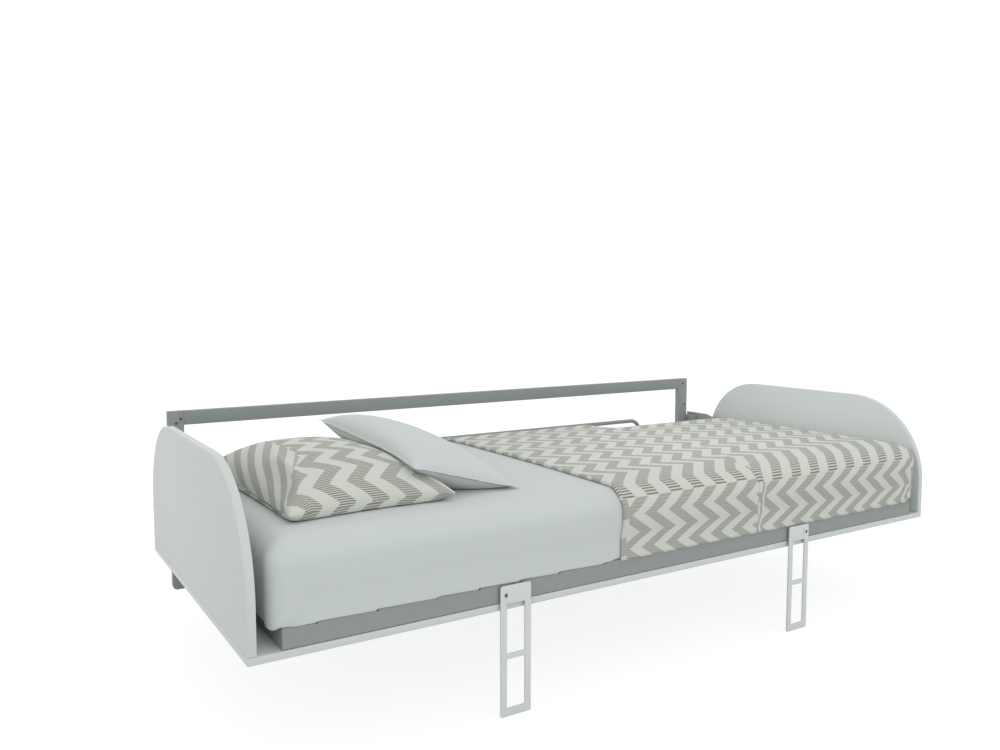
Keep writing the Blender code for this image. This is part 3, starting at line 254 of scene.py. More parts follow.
def black_nylon(name):
    """Moulded nylon: dull black with a fine spark-eroded texture."""
    return fine_finish(name, hex_colour("26282A"), 0.6, shift=0.04, cell=0.8 * MM,
                       depth=0.04 * MM)


def black_lacquer(name):
    """Baked black lacquer of a gas spring's tube: deep and glossy."""
    return fine_finish(name, hex_colour("141516"), 0.3, shift=0.05, cell=5 * MM,
                       depth=0.02 * MM, Coat_Weight=0.5, Coat_Roughness=0.08)


def hard_chrome(name):
    """Ground and chromed piston rod: a near mirror with faint turning marks."""
    return fine_finish(name, hex_colour("D9DBDD"), 0.1, shift=0.02, cell=0.7 * MM,
                       depth=0.01 * MM, Metallic=1.0)


def beech_ply(name):
    """Bent beech slat: lengthwise grain, short dark flecks and an open satin surface."""
    colour = hex_colour("D3B187")
    material, tree, shader = start_material(name, colour, 0.55)
    # Grain lines are 1 to 2 mm wide and run along the slat, across the bed.
    mapping, tint = grained(tree, shader, colour, shift=0.10, cell=2 * MM, depth=0.06 * MM,
                            stretch=(1, 0.04, 1))
    flecks = add_node(tree, "TexNoise",
                      {"Vector": mapping.outputs[0], "Scale": 900, "Detail": 1})
    dark = add_node(tree, "MapRange",
                    {"Value": flecks.outputs["Fac"], "From Min": 0.62, "From Max": 0.7})
    flecked = add_node(tree, "Mix",
                       {"A": tint.outputs["Result"], "B": (*hex_colour("A67C50"), 1),
                        "Factor": dark.outputs[0]}, data_type="RGBA")
    tree.links.new(flecked.outputs["Result"], shader.inputs["Base Color"])
    return material


def cotton_percale(name, colour):
    """Plain cotton: an even matt weave that scatters light softly at its rim."""
    material, tree, shader = start_material(name, colour, 0.9, Sheen_Weight=0.12,
                                            Sheen_Roughness=0.5)
    place = add_node(tree, "TexCoord").outputs["Object"]
    broad = add_node(tree, "TexNoise", {"Vector": place, "Scale": 9, "Detail": 3})
    tint = add_node(tree, "Mix",
                    {"A": shade_of(colour, 0.985), "B": shade_of(colour, 1.015),
                     "Factor": broad.outputs["Fac"]}, data_type="RGBA")
    tree.links.new(tint.outputs["Result"], shader.inputs["Base Color"])
    # Percale has a thread every 0.3 mm. It is drawn every 1.6 mm, so that a weave shows.
    pitch = 1.6 * MM
    height = None
    for direction in ("X", "Y", "Z"):
        thread = add_node(tree, "TexWave",
                          {"Vector": place, "Scale": math.pi / (10 * pitch),
                           "Distortion": 0.6, "Detail": 1},
                          bands_direction=direction).outputs["Fac"]
        height = thread if height is None else add_node(
            tree, "Math", {0: height, 1: thread}, operation="ADD").outputs[0]
    relief = add_node(tree, "Bump", {"Height": height, "Strength": 0.35, "Distance": 0.06 * MM})
    tree.links.new(relief.outputs[0], shader.inputs["Normal"])
    return material


def zigzag_jacquard(name, sizes, colours, on_coverlet):
    """Woven zigzag cloth: light plain bands, and darker bands built from raised cross ribs.

    It reads the UV map in metres: U is the distance from the edge of a dark band and V runs along
    the bands. The ribs run along U. On the coverlet they stand out along the hem and where it
    bends over the front edge, which is painted shade of the raised ribs there on top of their own
    dark colour, and on the pillow all over.
    """
    material, tree, shader = start_material(name, colours.band_light, 0.88, Sheen_Weight=0.1,
                                            Sheen_Roughness=0.5)
    cloth = add_node(tree, "TexCoord").outputs["UV"]
    parts = add_node(tree, "SeparateXYZ", {0: cloth})
    flat_along, across = parts.outputs[0], parts.outputs[1]

    # The bands' edges waver by about 2 mm, as loosely woven cloth does.
    along = flat_along
    for scale, reach in ((70, 3.5 * MM), (14, 5 * MM)):
        waver = add_node(tree, "TexNoise", {"Vector": cloth, "Scale": scale, "Detail": 2})
        along = add_node(tree, "Math", {0: waver.outputs["Fac"], 1: reach, 2: along},
                         operation="MULTIPLY_ADD").outputs[0]
    along = add_node(tree, "Math", {0: along, 1: 4.2 * MM}, operation="SUBTRACT").outputs[0]

    # A dark band reaches from 0 to half a pitch.
    band = along
    for operation, amount in (("ADD", sizes.zigzag_pitch / 4), ("DIVIDE", sizes.zigzag_pitch),
                              ("PINGPONG", 0.5)):
        band = add_node(tree, "Math", {0: band, 1: amount}, operation=operation).outputs[0]
    band = add_node(tree, "MapRange", {"Value": band, "From Min": 0.235, "From Max": 0.265},
                    interpolation_type="SMOOTHSTEP").outputs[0]

    # The ribs waver by about 1 mm and are as wide as the gaps between them.
    waver = add_node(tree, "TexNoise", {"Vector": cloth, "Scale": 90, "Detail": 2})
    rib = add_node(tree, "Math", {0: waver.outputs["Fac"], 1: 1.2 * MM, 2: across},
                   operation="MULTIPLY_ADD").outputs[0]
    pitch = sizes.rib_pitch if on_coverlet else sizes.pillow_rib_pitch
    for operation, amount in (("DIVIDE", pitch), ("PINGPONG", 0.5)):
        rib = add_node(tree, "Math", {0: rib, 1: amount}, operation=operation).outputs[0]
    rib = add_node(tree, "MapRange", {"Value": rib, "From Min": 0.17, "From Max": 0.33},
                   interpolation_type="SMOOTHSTEP").outputs[0]

    # How much the ribs' dark colour stands out, which on the coverlet is partly painted shade of
    # the raised ribs under light from above: on the coverlet, whose front crease is at 0 across,
    # behind the crease, in front of it, and on the top along the hem; on the pillow, from its
    # middle
    if on_coverlet:
        from_hem = add_node(tree, "Attribute", attribute_name="from_hem").outputs["Fac"]
        rib_shade_ramps = ((across, 0.012, sizes.zigzag_row, 1.0, 0.12),
                     (across, -0.001, 0.0005, 0.16, 1.0),
                     (from_hem, 0.008, 0.015, 1.0, 0.0),
                     (across, -0.001, 0.0005, 0.0, 1.0))
    else:
        rib_shade_ramps = ((flat_along, -0.06, 0.2, 1.0, 0.5),)
    shares = [add_node(tree, "MapRange", {"Value": value, "From Min": start, "From Max": stop,
                                          "To Min": low, "To Max": high},
                       interpolation_type="SMOOTHSTEP").outputs[0]
              for value, start, stop, low, high in rib_shade_ramps]
    strength = shares[0]
    if on_coverlet:
        products = [add_node(tree, "Math", {0: first, 1: second},
                             operation="MULTIPLY").outputs[0]
                    for first, second in (shares[:2], shares[2:])]
        strength = add_node(tree, "Math", {0: products[0], 1: products[1]},
                            operation="MAXIMUM").outputs[0]

    # Where the ribs don't stand out, the dark band keeps its mean tone.
    contrast = add_node(tree, "Math", {0: rib, 1: 0.5}, operation="SUBTRACT").outputs[0]
    tone = add_node(tree, "Math", {0: contrast, 1: strength, 2: 0.5},
                    operation="MULTIPLY_ADD").outputs[0]
    dark = add_node(tree, "Mix", {"A": (*colours.band_dark, 1), "B": (*colours.rib, 1),
                                  "Factor": tone}, data_type="RGBA")
    fleck = add_node(tree, "TexNoise", {"Vector": cloth, "Scale": 220, "Detail": 3})
    light = add_node(tree, "Mix",
                     {"A": shade_of(colours.band_light, 0.95),
                      "B": shade_of(colours.band_light, 1.04),
                      "Factor": fleck.outputs["Fac"]}, data_type="RGBA")
    both = add_node(tree, "Mix", {"A": light.outputs["Result"], "B": dark.outputs["Result"],
                                  "Factor": band}, data_type="RGBA")
    tree.links.new(both.outputs["Result"], shader.inputs["Base Color"])

    # A thread every 0.5 mm, drawn every 2 mm, and the ribs on the dark bands.
    thread = along
    for operation, amount in (("DIVIDE", 2 * MM), ("PINGPONG", 0.5)):
        thread = add_node(tree, "Math", {0: thread, 1: amount}, operation=operation).outputs[0]
    raised = add_node(tree, "Math", {0: rib, 1: band}, operation="MULTIPLY").outputs[0]
    height = add_node(tree, "Math", {0: thread, 1: 0.2, 2: raised},
                      operation="MULTIPLY_ADD").outputs[0]
    relief = add_node(tree, "Bump", {"Height": height, "Strength": 0.8, "Distance": 0.5 * MM})
    tree.links.new(relief.outputs[0], shader.inputs["Normal"])
    return material


def material_for(name, maker, *values):
    """The material of that name, made the first time it is asked for."""
    return bpy.data.materials.get(name) or maker(name, *values)


def grey_coat(context):
    """The coat of both frames and of the plates and the bar on them."""
    return material_for("grey_powder_coat", powder_coat,
                        context.scene.bed_colours.grey_steel, 0.5)


def activate(item):
    """Make one object the only selected and the active one."""
    bpy.ops.object.select_all(action="DESELECT")
    item.select_set(True)
    bpy.context.view_layer.objects.active = item


def new_box(name, low, high):
    """A cube primitive between two corners, with its place in its mesh."""
    bpy.ops.object.select_all(action="DESELECT")
    bpy.ops.mesh.primitive_cube_add(size=1, location=(low + high) / 2)
    item = bpy.context.object
    item.name = name
    item.scale = high - low
    bpy.ops.object.transform_apply(location=True, rotation=True, scale=True)
    return item


def edit(item, kind, test):
    """Enter edit mode and select the elements of one kind that pass a test."""
    activate(item)
    bpy.ops.object.mode_set(mode="EDIT")
    bpy.ops.mesh.select_mode(type=kind)
    bpy.ops.mesh.select_all(action="DESELECT")
    mesh = bmesh.from_edit_mesh(item.data)
    elements = {"VERT": mesh.verts, "EDGE": mesh.edges, "FACE": mesh.faces}[kind]
    for element in elements:
        if test(element):
            element.select_set(True)
    mesh.select_flush_mode()
    bmesh.update_edit_mesh(item.data)


def leave_edit():
    """Back to object mode, with the edits kept in the mesh."""
    bpy.ops.object.mode_set(mode="OBJECT")


def runs_along(edge, axis):
    """Whether an edge runs along an axis."""
    return abs((edge.verts[1].co - edge.verts[0].co).normalized().dot(axis)) > SAME_WAY


def round_edges(item, test, width, segments=3):
    """Bevel the edges of a piece that pass a test."""
    edit(item, "EDGE", test)
    bpy.ops.mesh.bevel(offset=width, segments=segments, affect="EDGES", clamp_overlap=True)
    leave_edit()


def break_edges(item, width):
    """Bevel every sharp edge of a piece a little, by a modifier that is then applied."""
    activate(item)
    bevel = item.modifiers.new("broken_edges", "BEVEL")
    bevel.width = width
    bevel.segments = 2
    bevel.limit_method = "ANGLE"
    bevel.angle_limit = SHARP_ANGLE
    bevel.harden_normals = False
    bpy.ops.object.modifier_apply(modifier=bevel.name)


def complete(item, material, slot, body, *nodes, soft=False):
    """Finish a piece: its shading, material and body, and the nodes it stands for. Its slot is not
    used.
    """
    activate(item)
    if soft:
        bpy.ops.object.shade_smooth()
    else:
        bpy.ops.object.shade_smooth_by_angle(angle=SMOOTH_ANGLE)
    item.data.materials.clear()
    item.data.materials.append(material)
    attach(item, body)
    if nodes:
        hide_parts(*nodes)


def refined_copy(node, name, width):
    """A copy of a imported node, merged to clean faces, with its sharp edges broken."""
    item = bpy.data.objects.new(name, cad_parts[node].data.copy())
    bpy.context.collection.objects.link(item)
    edit(item, "VERT", lambda vertex: True)
    bpy.ops.mesh.remove_doubles(threshold=SAME_PLACE)
    bpy.ops.mesh.dissolve_limited(angle_limit=FLAT_ANGLE)
    leave_edit()
    if width:
        break_edges(item, width)
    return item


def middle_of(node):
    """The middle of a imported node's box."""
    low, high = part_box(node)
    return [(first + second) / 2 for first, second in zip(low, high)]


def drawn_line(name, points):
    """A line of edges, drawn by extruding a first point from place to place."""
    bpy.ops.object.select_all(action="DESELECT")
    bpy.ops.mesh.primitive_plane_add(size=1, location=points[0])
    item = bpy.context.object
    item.name = name
    bpy.ops.object.mode_set(mode="EDIT")
    bpy.ops.mesh.merge(type="CENTER")
    for point, following in zip(points, points[1:]):
        bpy.ops.mesh.extrude_region_move(
            TRANSFORM_OT_translate={"value": tuple(following - point)})
    leave_edit()
    bpy.ops.object.transform_apply(location=True, rotation=True, scale=True)
    return item


def round_bar(name, points, radius):
    """A round bar along a line of points, with closed ends."""
    item = drawn_line(name, points)
    activate(item)
    bpy.ops.object.convert(target="CURVE")
    item.data.bevel_depth = radius
    item.data.bevel_resolution = 5
    item.data.use_fill_caps = True
    bpy.ops.object.convert(target="MESH")
    return bpy.context.object


def turned_piece(name, profile, start, axis, steps):
    """Spin a profile of (distance, radius) pairs about an axis, closed at both ends."""
    start, axis = Vector(start), Vector(axis).normalized()
    across = axis.orthogonal().normalized()
    points = [start + axis * distance + across * radius for distance, radius in profile]
    item = drawn_line(name, points)
    activate(item)
    bpy.ops.object.mode_set(mode="EDIT")
    bpy.ops.mesh.select_all(action="SELECT")
    bpy.ops.mesh.spin(steps=steps, angle=math.tau, center=start, axis=axis)
    bpy.ops.mesh.select_all(action="SELECT")
    bpy.ops.mesh.remove_doubles(threshold=SAME_PLACE)
    bpy.ops.mesh.select_all(action="DESELECT")
    bpy.ops.mesh.select_non_manifold()
    bpy.ops.mesh.edge_face_add()
    bpy.ops.mesh.select_all(action="SELECT")
    bpy.ops.mesh.normals_make_consistent(inside=False)
    leave_edit()
    return item


def smooth_share(value, start, stop):
    """From 0 at start to 1 at stop, level at both ends."""
    share = min(max((value - start) / (stop - start), 0), 1)
    return share * share * (3 - 2 * share)


def top_form(x, y):
    """Height of the mattress' top over its shoulder: crowned, and sunk at the rear foot end."""
    half_depth = (MATTRESS_HIGH.y - MATTRESS_LOW.y) / 2
    reach = min(MATTRESS_HIGH.x - abs(x), y - MATTRESS_LOW.y, MATTRESS_HIGH.y - y)
    crown = 1 - (1 - min(max(reach / half_depth, 0), 1)) ** 2
    sink = SINK_DEPTH * smooth_share(x, *SINK_ALONG) * smooth_share(y, *SINK_ACROSS)
    return MATTRESS_CROWN * crown - sink


def grid_lines(start, stop, cells, steps):
    """Grid lines between two centre lines, and the numbered steps beyond them at both ends."""
    lines = [(start + (stop - start) * i / cells, 0) for i in range(cells + 1)]
    return ([(start, -step) for step in range(steps, 0, -1)] + lines
            + [(stop, step) for step in range(1, steps + 1)])


def outward(end, side):
    """The level way out from the centre lines, longer at the full corners.

    end and side are numbers of steps beyond the lines, with the sign of the edge.
    """
    if not end and not side:
        return Vector((0, 0, 0))
    far, near = max(abs(end), abs(side)), min(abs(end), abs(side))
    angle = math.pi / 4 * near / far
    if abs(end) < abs(side):
        angle = math.pi / 2 - angle
    fullness = HEAD_FULLNESS if end < 0 else FOOT_FULLNESS
    reach = 1 + fullness * math.sin(2 * angle) ** 2
    return reach * Vector((math.copysign(math.cos(angle), end) if end else 0,
                           math.copysign(math.sin(angle), side) if side else 0, 0))


def front_bulge(place, low_share):
    """How far the front stands out of the mattress' outline: most a third of the way down.

    low_share is what is left of it at the foot of the front.
    """
    drop = MATTRESS_SHOULDER - place.z
    return FRONT_BULGE * smooth_share(drop, *BULGE_GROWS) * (
        1 - (1 - low_share) * smooth_share(drop, *BULGE_FADES))


def grid_faces(rows, columns):
    """The faces of a grid of points, listed row by row."""
    return [(corner, corner + columns, corner + columns + 1, corner + 1)
            for i in range(rows - 1)
            for corner in range(i * columns, (i + 1) * columns - 1)]


def mesh_piece(name, points, faces):
    """A new object from points and faces."""
    mesh = bpy.data.meshes.new(name)
    mesh.from_pydata(points, [], faces)
    item = bpy.data.objects.new(name, mesh)
    bpy.context.collection.objects.link(item)
    return item


def background_rays(tree):
    """1 for a ray that shows the background: the camera's, or one by way of gloss or glass."""
    rays = add_node(tree, "LightPath")
    shown = rays.outputs["Is Camera Ray"]
    for other in ("Is Glossy Ray", "Is Transmission Ray"):
        shown = add_node(tree, "Math", {0: shown, 1: rays.outputs[other]},
                         operation="MAXIMUM").outputs[0]
    return shown


class StageOperator(Operator):
    """Makes the floor, the studio light and the camera"""
    bl_idname = "folding_bed.make_stage"
    bl_label = "Stage"

    camera_place = Vector((-1.4703, -2.5384, 0.3286))
    camera_turn = math.radians(32.039)
    camera_tilt = math.radians(4.906)
    camera_lens = 31.05
    camera_sensor = 36.0
    camera_clip = (0.05, 200)
    # Place, what it aims at, size, power and spread in degrees: in front of the bed, and a
    # weak one that lights the inner face of the foot end board
    lamps = (("softbox", (-0.5, -3.4, 1.3), (0, -0.5, -0.2), 3.0, 12.0, 180),
             ("fill", (-0.45, -0.75, 0.40), (1.03, -0.6, -0.02), 0.5, 0.4, 60))
    room_colour = (0.985, 1.0, 0.995, 1)
    room_strength = 0.96
    white = (1, 1, 1, 1)
    floor_span = 60.0
    floor_colour = (0.74, 0.75, 0.75, 1)
    # The floor's background: a grey that takes the shadow, and a white that lifts it
    floor_shade = (0.26, 0.26, 0.26, 1)
    floor_lift = 0.82

    def execute(self, context):
        self.make_camera(context)
        self.make_light(context)
        self.make_floor()
        self.make_world(context)
        context.scene.view_settings.view_transform = "Standard"
        return {"FINISHED"}

    def make_camera(self, context):
        data = bpy.data.cameras.new("camera")
        data.lens = self.camera_lens
        data.sensor_width = self.camera_sensor
        data.clip_start, data.clip_end = self.camera_clip
        camera = bpy.data.objects.new("camera", data)
        camera.location = self.camera_place
        camera.rotation_euler = (math.pi / 2 - self.camera_tilt, 0, -self.camera_turn)
        context.collection.objects.link(camera)
        context.scene.camera = camera

    def make_light(self, context):
        for name, place, aim, size, power, spread in self.lamps:
            data = bpy.data.lights.new(name, "AREA")
            data.shape = "DISK"
            data.size = size
            data.energy = power
            data.spread = math.radians(spread)
            lamp = bpy.data.objects.new(name, data)
            lamp.location = place
            way = Vector(aim) - Vector(place)
            lamp.rotation_euler = way.to_track_quat("-Z", "Y").to_euler()
            lamp.visible_camera = False
            lamp.visible_glossy = False
            context.collection.objects.link(lamp)

    def make_floor(self):
        """A pale floor, which the camera sees as white with a faint shadow."""
        bpy.ops.object.select_all(action="DESELECT")
        bpy.ops.mesh.primitive_plane_add(size=self.floor_span, location=(0, 0, FLOOR_HEIGHT))
        floor = bpy.context.object
        floor.name = "floor"
        bpy.ops.object.transform_apply(location=True, rotation=True, scale=True)
        material = bpy.data.materials.new("pale_floor")
        material.use_nodes = True
        tree = material.node_tree
        tree.nodes.clear()
        pale = add_node(tree, "BsdfDiffuse", {"Color": self.floor_colour})
        shaded = add_node(tree, "BsdfDiffuse", {"Color": self.floor_shade})
        lift = add_node(tree, "Emission", {"Color": self.white, "Strength": self.floor_lift})
        seen = add_node(tree, "AddShader", {0: shaded.outputs[0], 1: lift.outputs[0]})
        mix = add_node(tree, "MixShader", {0: background_rays(tree), 1: pale.outputs[0],
                                           2: seen.outputs[0]})
        add_node(tree, "OutputMaterial", {"Surface": mix.outputs[0]})
        floor.data.materials.append(material)

    def make_world(self, context):
        """Even light from all around, behind a white background."""
        world = bpy.data.worlds.new("studio")
        world.use_nodes = True
        tree = world.node_tree
        tree.nodes.clear()
        room = add_node(tree, "Background",
                        {"Color": self.room_colour, "Strength": self.room_strength})
        seen = add_node(tree, "Background", {"Color": self.white, "Strength": 1.0})
        mix = add_node(tree, "MixShader", {0: background_rays(tree), 1: room.outputs[0],
                                           2: seen.outputs[0]})
        add_node(tree, "OutputWorld", {"Surface": mix.outputs[0]})
        context.scene.world = world


class BoardsOperator(Operator):
    """Makes the bottom panel and the two end boards"""
    bl_idname = "folding_bed.make_boards"
    bl_label = "Boards"

    def execute(self, context):
        sizes, colours = context.scene.bed_sizes, context.scene.bed_colours
        face = material_for("melamine_board", melamine_board, colours.board)
        band = material_for("abs_edge_band", abs_edge_band, colours.board_edge)
        panel = new_box("panel", PANEL_LOW, PANEL_HIGH)
        break_edges(panel, sizes.board_edge)
        self.dress(panel, face, band, Z_AXIS, "bottom_panel")
        for node in ("head_end_board", "foot_end_board"):
            low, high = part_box(node)
            board = new_box(node.replace("_end", ""), low, high)
            for y, radius in ((low.y, sizes.board_front_radius),
                              (high.y, sizes.board_back_radius)):
                def upper_corner(edge, y=y):
                    ends = [vertex.co for vertex in edge.verts]
                    return runs_along(edge, X_AXIS) and all(
                        abs(end.y - y) < SAME_PLACE and end.z > high.z - SAME_PLACE
                        for end in ends)
                round_edges(board, upper_corner, radius, 32)
            break_edges(board, sizes.board_edge)
            self.dress(board, face, band, X_AXIS, node)
        return {"FINISHED"}

    def dress(self, board, face, band, flat_axis, node):
        """Give the broad faces the board's own finish and its rim the edge band."""
        complete(board, face, "white_board", "bed", node)
        board.data.materials.append(band)
        for polygon in board.data.polygons:
            if abs(polygon.normal.dot(flat_axis)) <= SAME_WAY:
                polygon.material_index = 1


class FramesOperator(Operator):
    """Makes the square tubes of the wall frame and of the base, with their rivets and screws"""
    bl_idname = "folding_bed.make_frames"
    bl_label = "Frames"

    foot_radius = 0.012
    plug_wall = 0.002
    plug_depth = 0.003
    screw_edge = 0.3 * MM
    rivet_radius = 0.0024
    rivet_rise = 0.0012
    rivet_below_top = 0.0022
    rivet_angles = (30, 60, 85)
    rivet_steps = 16

    def execute(self, context):
        sizes = context.scene.bed_sizes
        grey = grey_coat(context)
        dark = material_for("blackened_steel", blackened_steel)
        for node in ("wall_rail_top", "wall_rail_bottom"):
            self.tube(node, X_AXIS, grey, "wall_frame", sizes)
        for node in ("frame_rail_front", "frame_rail_rear"):
            self.tube(node, X_AXIS, grey, "bed", sizes)
        for node in ("frame_rail_head", "frame_rail_foot", "frame_rail_centre"):
            self.tube(node, Y_AXIS, grey, "bed", sizes)
        for side in SIDES:
            self.upright(side, grey, sizes)
            for index in (1, 2):
                node = f"wall_screw_{side}_{index}"
                screw = refined_copy(node, f"frame_screw_{side}_{index}", self.screw_edge)
                complete(screw, dark, "zinc", "wall_frame", node)
        self.rivets(dark)
        return {"FINISHED"}

    def tube(self, node, axis, material, body, sizes):
        """A tube, with its mitred ends, whose outer long edges are rounded."""
        tube = refined_copy(node, node.replace("rail", "tube"), 0)
        low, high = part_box(node)
        across = Y_AXIS if axis is X_AXIS else X_AXIS

        def outer_long_edge(edge):
            ends = [vertex.co for vertex in edge.verts]
            return runs_along(edge, axis) and all(
                min(abs(end.dot(across) - low.dot(across)),
                    abs(end.dot(across) - high.dot(across))) < SAME_PLACE
                and min(abs(end.z - low.z), abs(end.z - high.z)) < SAME_PLACE
                for end in ends)
        round_edges(tube, outer_long_edge, sizes.tube_edge)
        complete(tube, material, "grey_steel", body, node)

    def upright(self, side, material, sizes):
        """An upright with a rounded outer foot corner, plugged at its foot."""
        node = f"wall_upright_{side}"
        low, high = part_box(node)
        post = new_box(f"wall_post_{side}", low, high)
        outer = low.x if side == "left" else high.x

        def foot_corner(edge):
            return runs_along(edge, Y_AXIS) and all(
                abs(vertex.co.x - outer) < SAME_PLACE and vertex.co.z < low.z + SAME_PLACE
                for vertex in edge.verts)
        round_edges(post, foot_corner, self.foot_radius, 8)
        edit(post, "FACE", lambda face: face.normal.z < -SAME_WAY)
        bpy.ops.mesh.inset(thickness=self.plug_wall)
        bpy.ops.mesh.extrude_region_move(
            TRANSFORM_OT_translate={"value": (0, 0, self.plug_depth)})
        leave_edit()
        break_edges(post, sizes.tube_edge / 2)
        complete(post, material, "grey_steel", "wall_frame", node)

    def rivets(self, steel):
        """One low rivet in front of each slat, near the front tube's upper edge."""
        profile = [(0.0, self.rivet_radius)]
        for angle in map(math.radians, self.rivet_angles):
            profile.append((self.rivet_rise * math.sin(angle),
                            self.rivet_radius * math.cos(angle)))
        heads = []
        for index, slat in enumerate(SLATS, 1):
            place = (middle_of(slat)[0], RAIL_LOW.y, RAIL_HIGH.z - self.rivet_below_top)
            heads.append(turned_piece(f"rivet_{index}", profile, place, -Y_AXIS,
                                      self.rivet_steps))
        activate(heads[0])
        for head in heads:
            head.select_set(True)
        bpy.ops.object.join()
        rivets = bpy.context.object
        rivets.name = "slat_rivets"
        complete(rivets, steel, "zinc", "bed")


class HardwareOperator(Operator):
    """Makes the brackets, arms, bolts and studs of the bed's axis, and the gas springs"""
    bl_idname = "folding_bed.make_hardware"
    bl_label = "Hardware"

    # Node, piece, width of its broken edges and body
    plates = (("side_bracket", "wall_bracket", 0.8 * MM, "wall_frame"),
              ("swing_arm", "bed_arm", 0.8 * MM, "bed"))
    pins = (("pivot_bolt", "axis_bolt", 0.4 * MM, "wall_frame"),
            ("spring_anchor", "upper_stud", 0.3 * MM, "wall_frame"),
            ("spring_stud", "lower_stud", 0.4 * MM, "bed"))

    def execute(self, context):
        grey = grey_coat(context)
        zinc = material_for("zinc_plate", zinc_plate)
        lacquer = material_for("black_lacquer", black_lacquer)
        chrome = material_for("hard_chrome", hard_chrome)
        for side in SIDES:
            for group, material, slot in ((self.plates, grey, "grey_steel"),
                                          (self.pins, zinc, "zinc")):
                for node, name, width, body in group:
                    node = f"{node}_{side}"
                    piece = refined_copy(node, f"{name}_{side}", width)
                    complete(piece, material, slot, body, node)
            # A gas spring's tube and rod keep their own edges, and each is a body.
            for node, name, material, slot in (
                    ("gas_cylinder", "spring_tube", lacquer, "gas_spring_black"),
                    ("gas_rod", "spring_rod", chrome, "chrome_rod")):
                node = f"{node}_{side}"
                complete(refined_copy(node, f"{name}_{side}", 0), material, slot, node, node)
        return {"FINISHED"}


class RetainerOperator(Operator):
    """Makes the bent bar behind the mattress"""
    bl_idname = "folding_bed.make_retainer"
    bl_label = "Retainer bar"

    radius = 0.007
    top_bend = 0.042
    foot_bend = 0.018
    bend_steps = 14

    def execute(self, context):
        low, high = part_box("mattress_retainer")
        span, back = high.x - self.radius, high.y - self.radius
        top, foot = high.z - self.radius, low.z + self.radius
        half = [Vector((span, low.y, foot))]
        half += self.bend(Vector((span, back - self.foot_bend, foot + self.foot_bend)),
                          -90, 0, self.foot_bend, Y_AXIS)
        half += self.bend(Vector((span - self.top_bend, back, top - self.top_bend)),
                          0, 90, self.top_bend, X_AXIS)
        route = half + [Vector((-point.x, point.y, point.z)) for point in reversed(half)]
        bar = round_bar("retainer_bar", route, self.radius)
        complete(bar, grey_coat(context), "grey_steel", "bed", "mattress_retainer")
        return {"FINISHED"}

    def bend(self, centre, start, stop, radius, level):
        """Points round a quarter bend, from start to stop degrees above a level direction."""
        points = []
        for step in range(self.bend_steps + 1):
            angle = math.radians(start + (stop - start) * step / self.bend_steps)
            points.append(centre + radius * (math.cos(angle) * level
                                             + math.sin(angle) * Z_AXIS))
        return points


class SlatsOperator(Operator):
    """Finishes the slats of the base"""
    bl_idname = "folding_bed.make_slats"
    bl_label = "Slats"

    edge = 0.8 * MM

    def execute(self, context):
        beech = material_for("beech_ply", beech_ply)
        for node in SLATS:
            slat = refined_copy(node, f"beech_{node}", self.edge)
            complete(slat, beech, "beech", "bed", node)
        return {"FINISHED"}


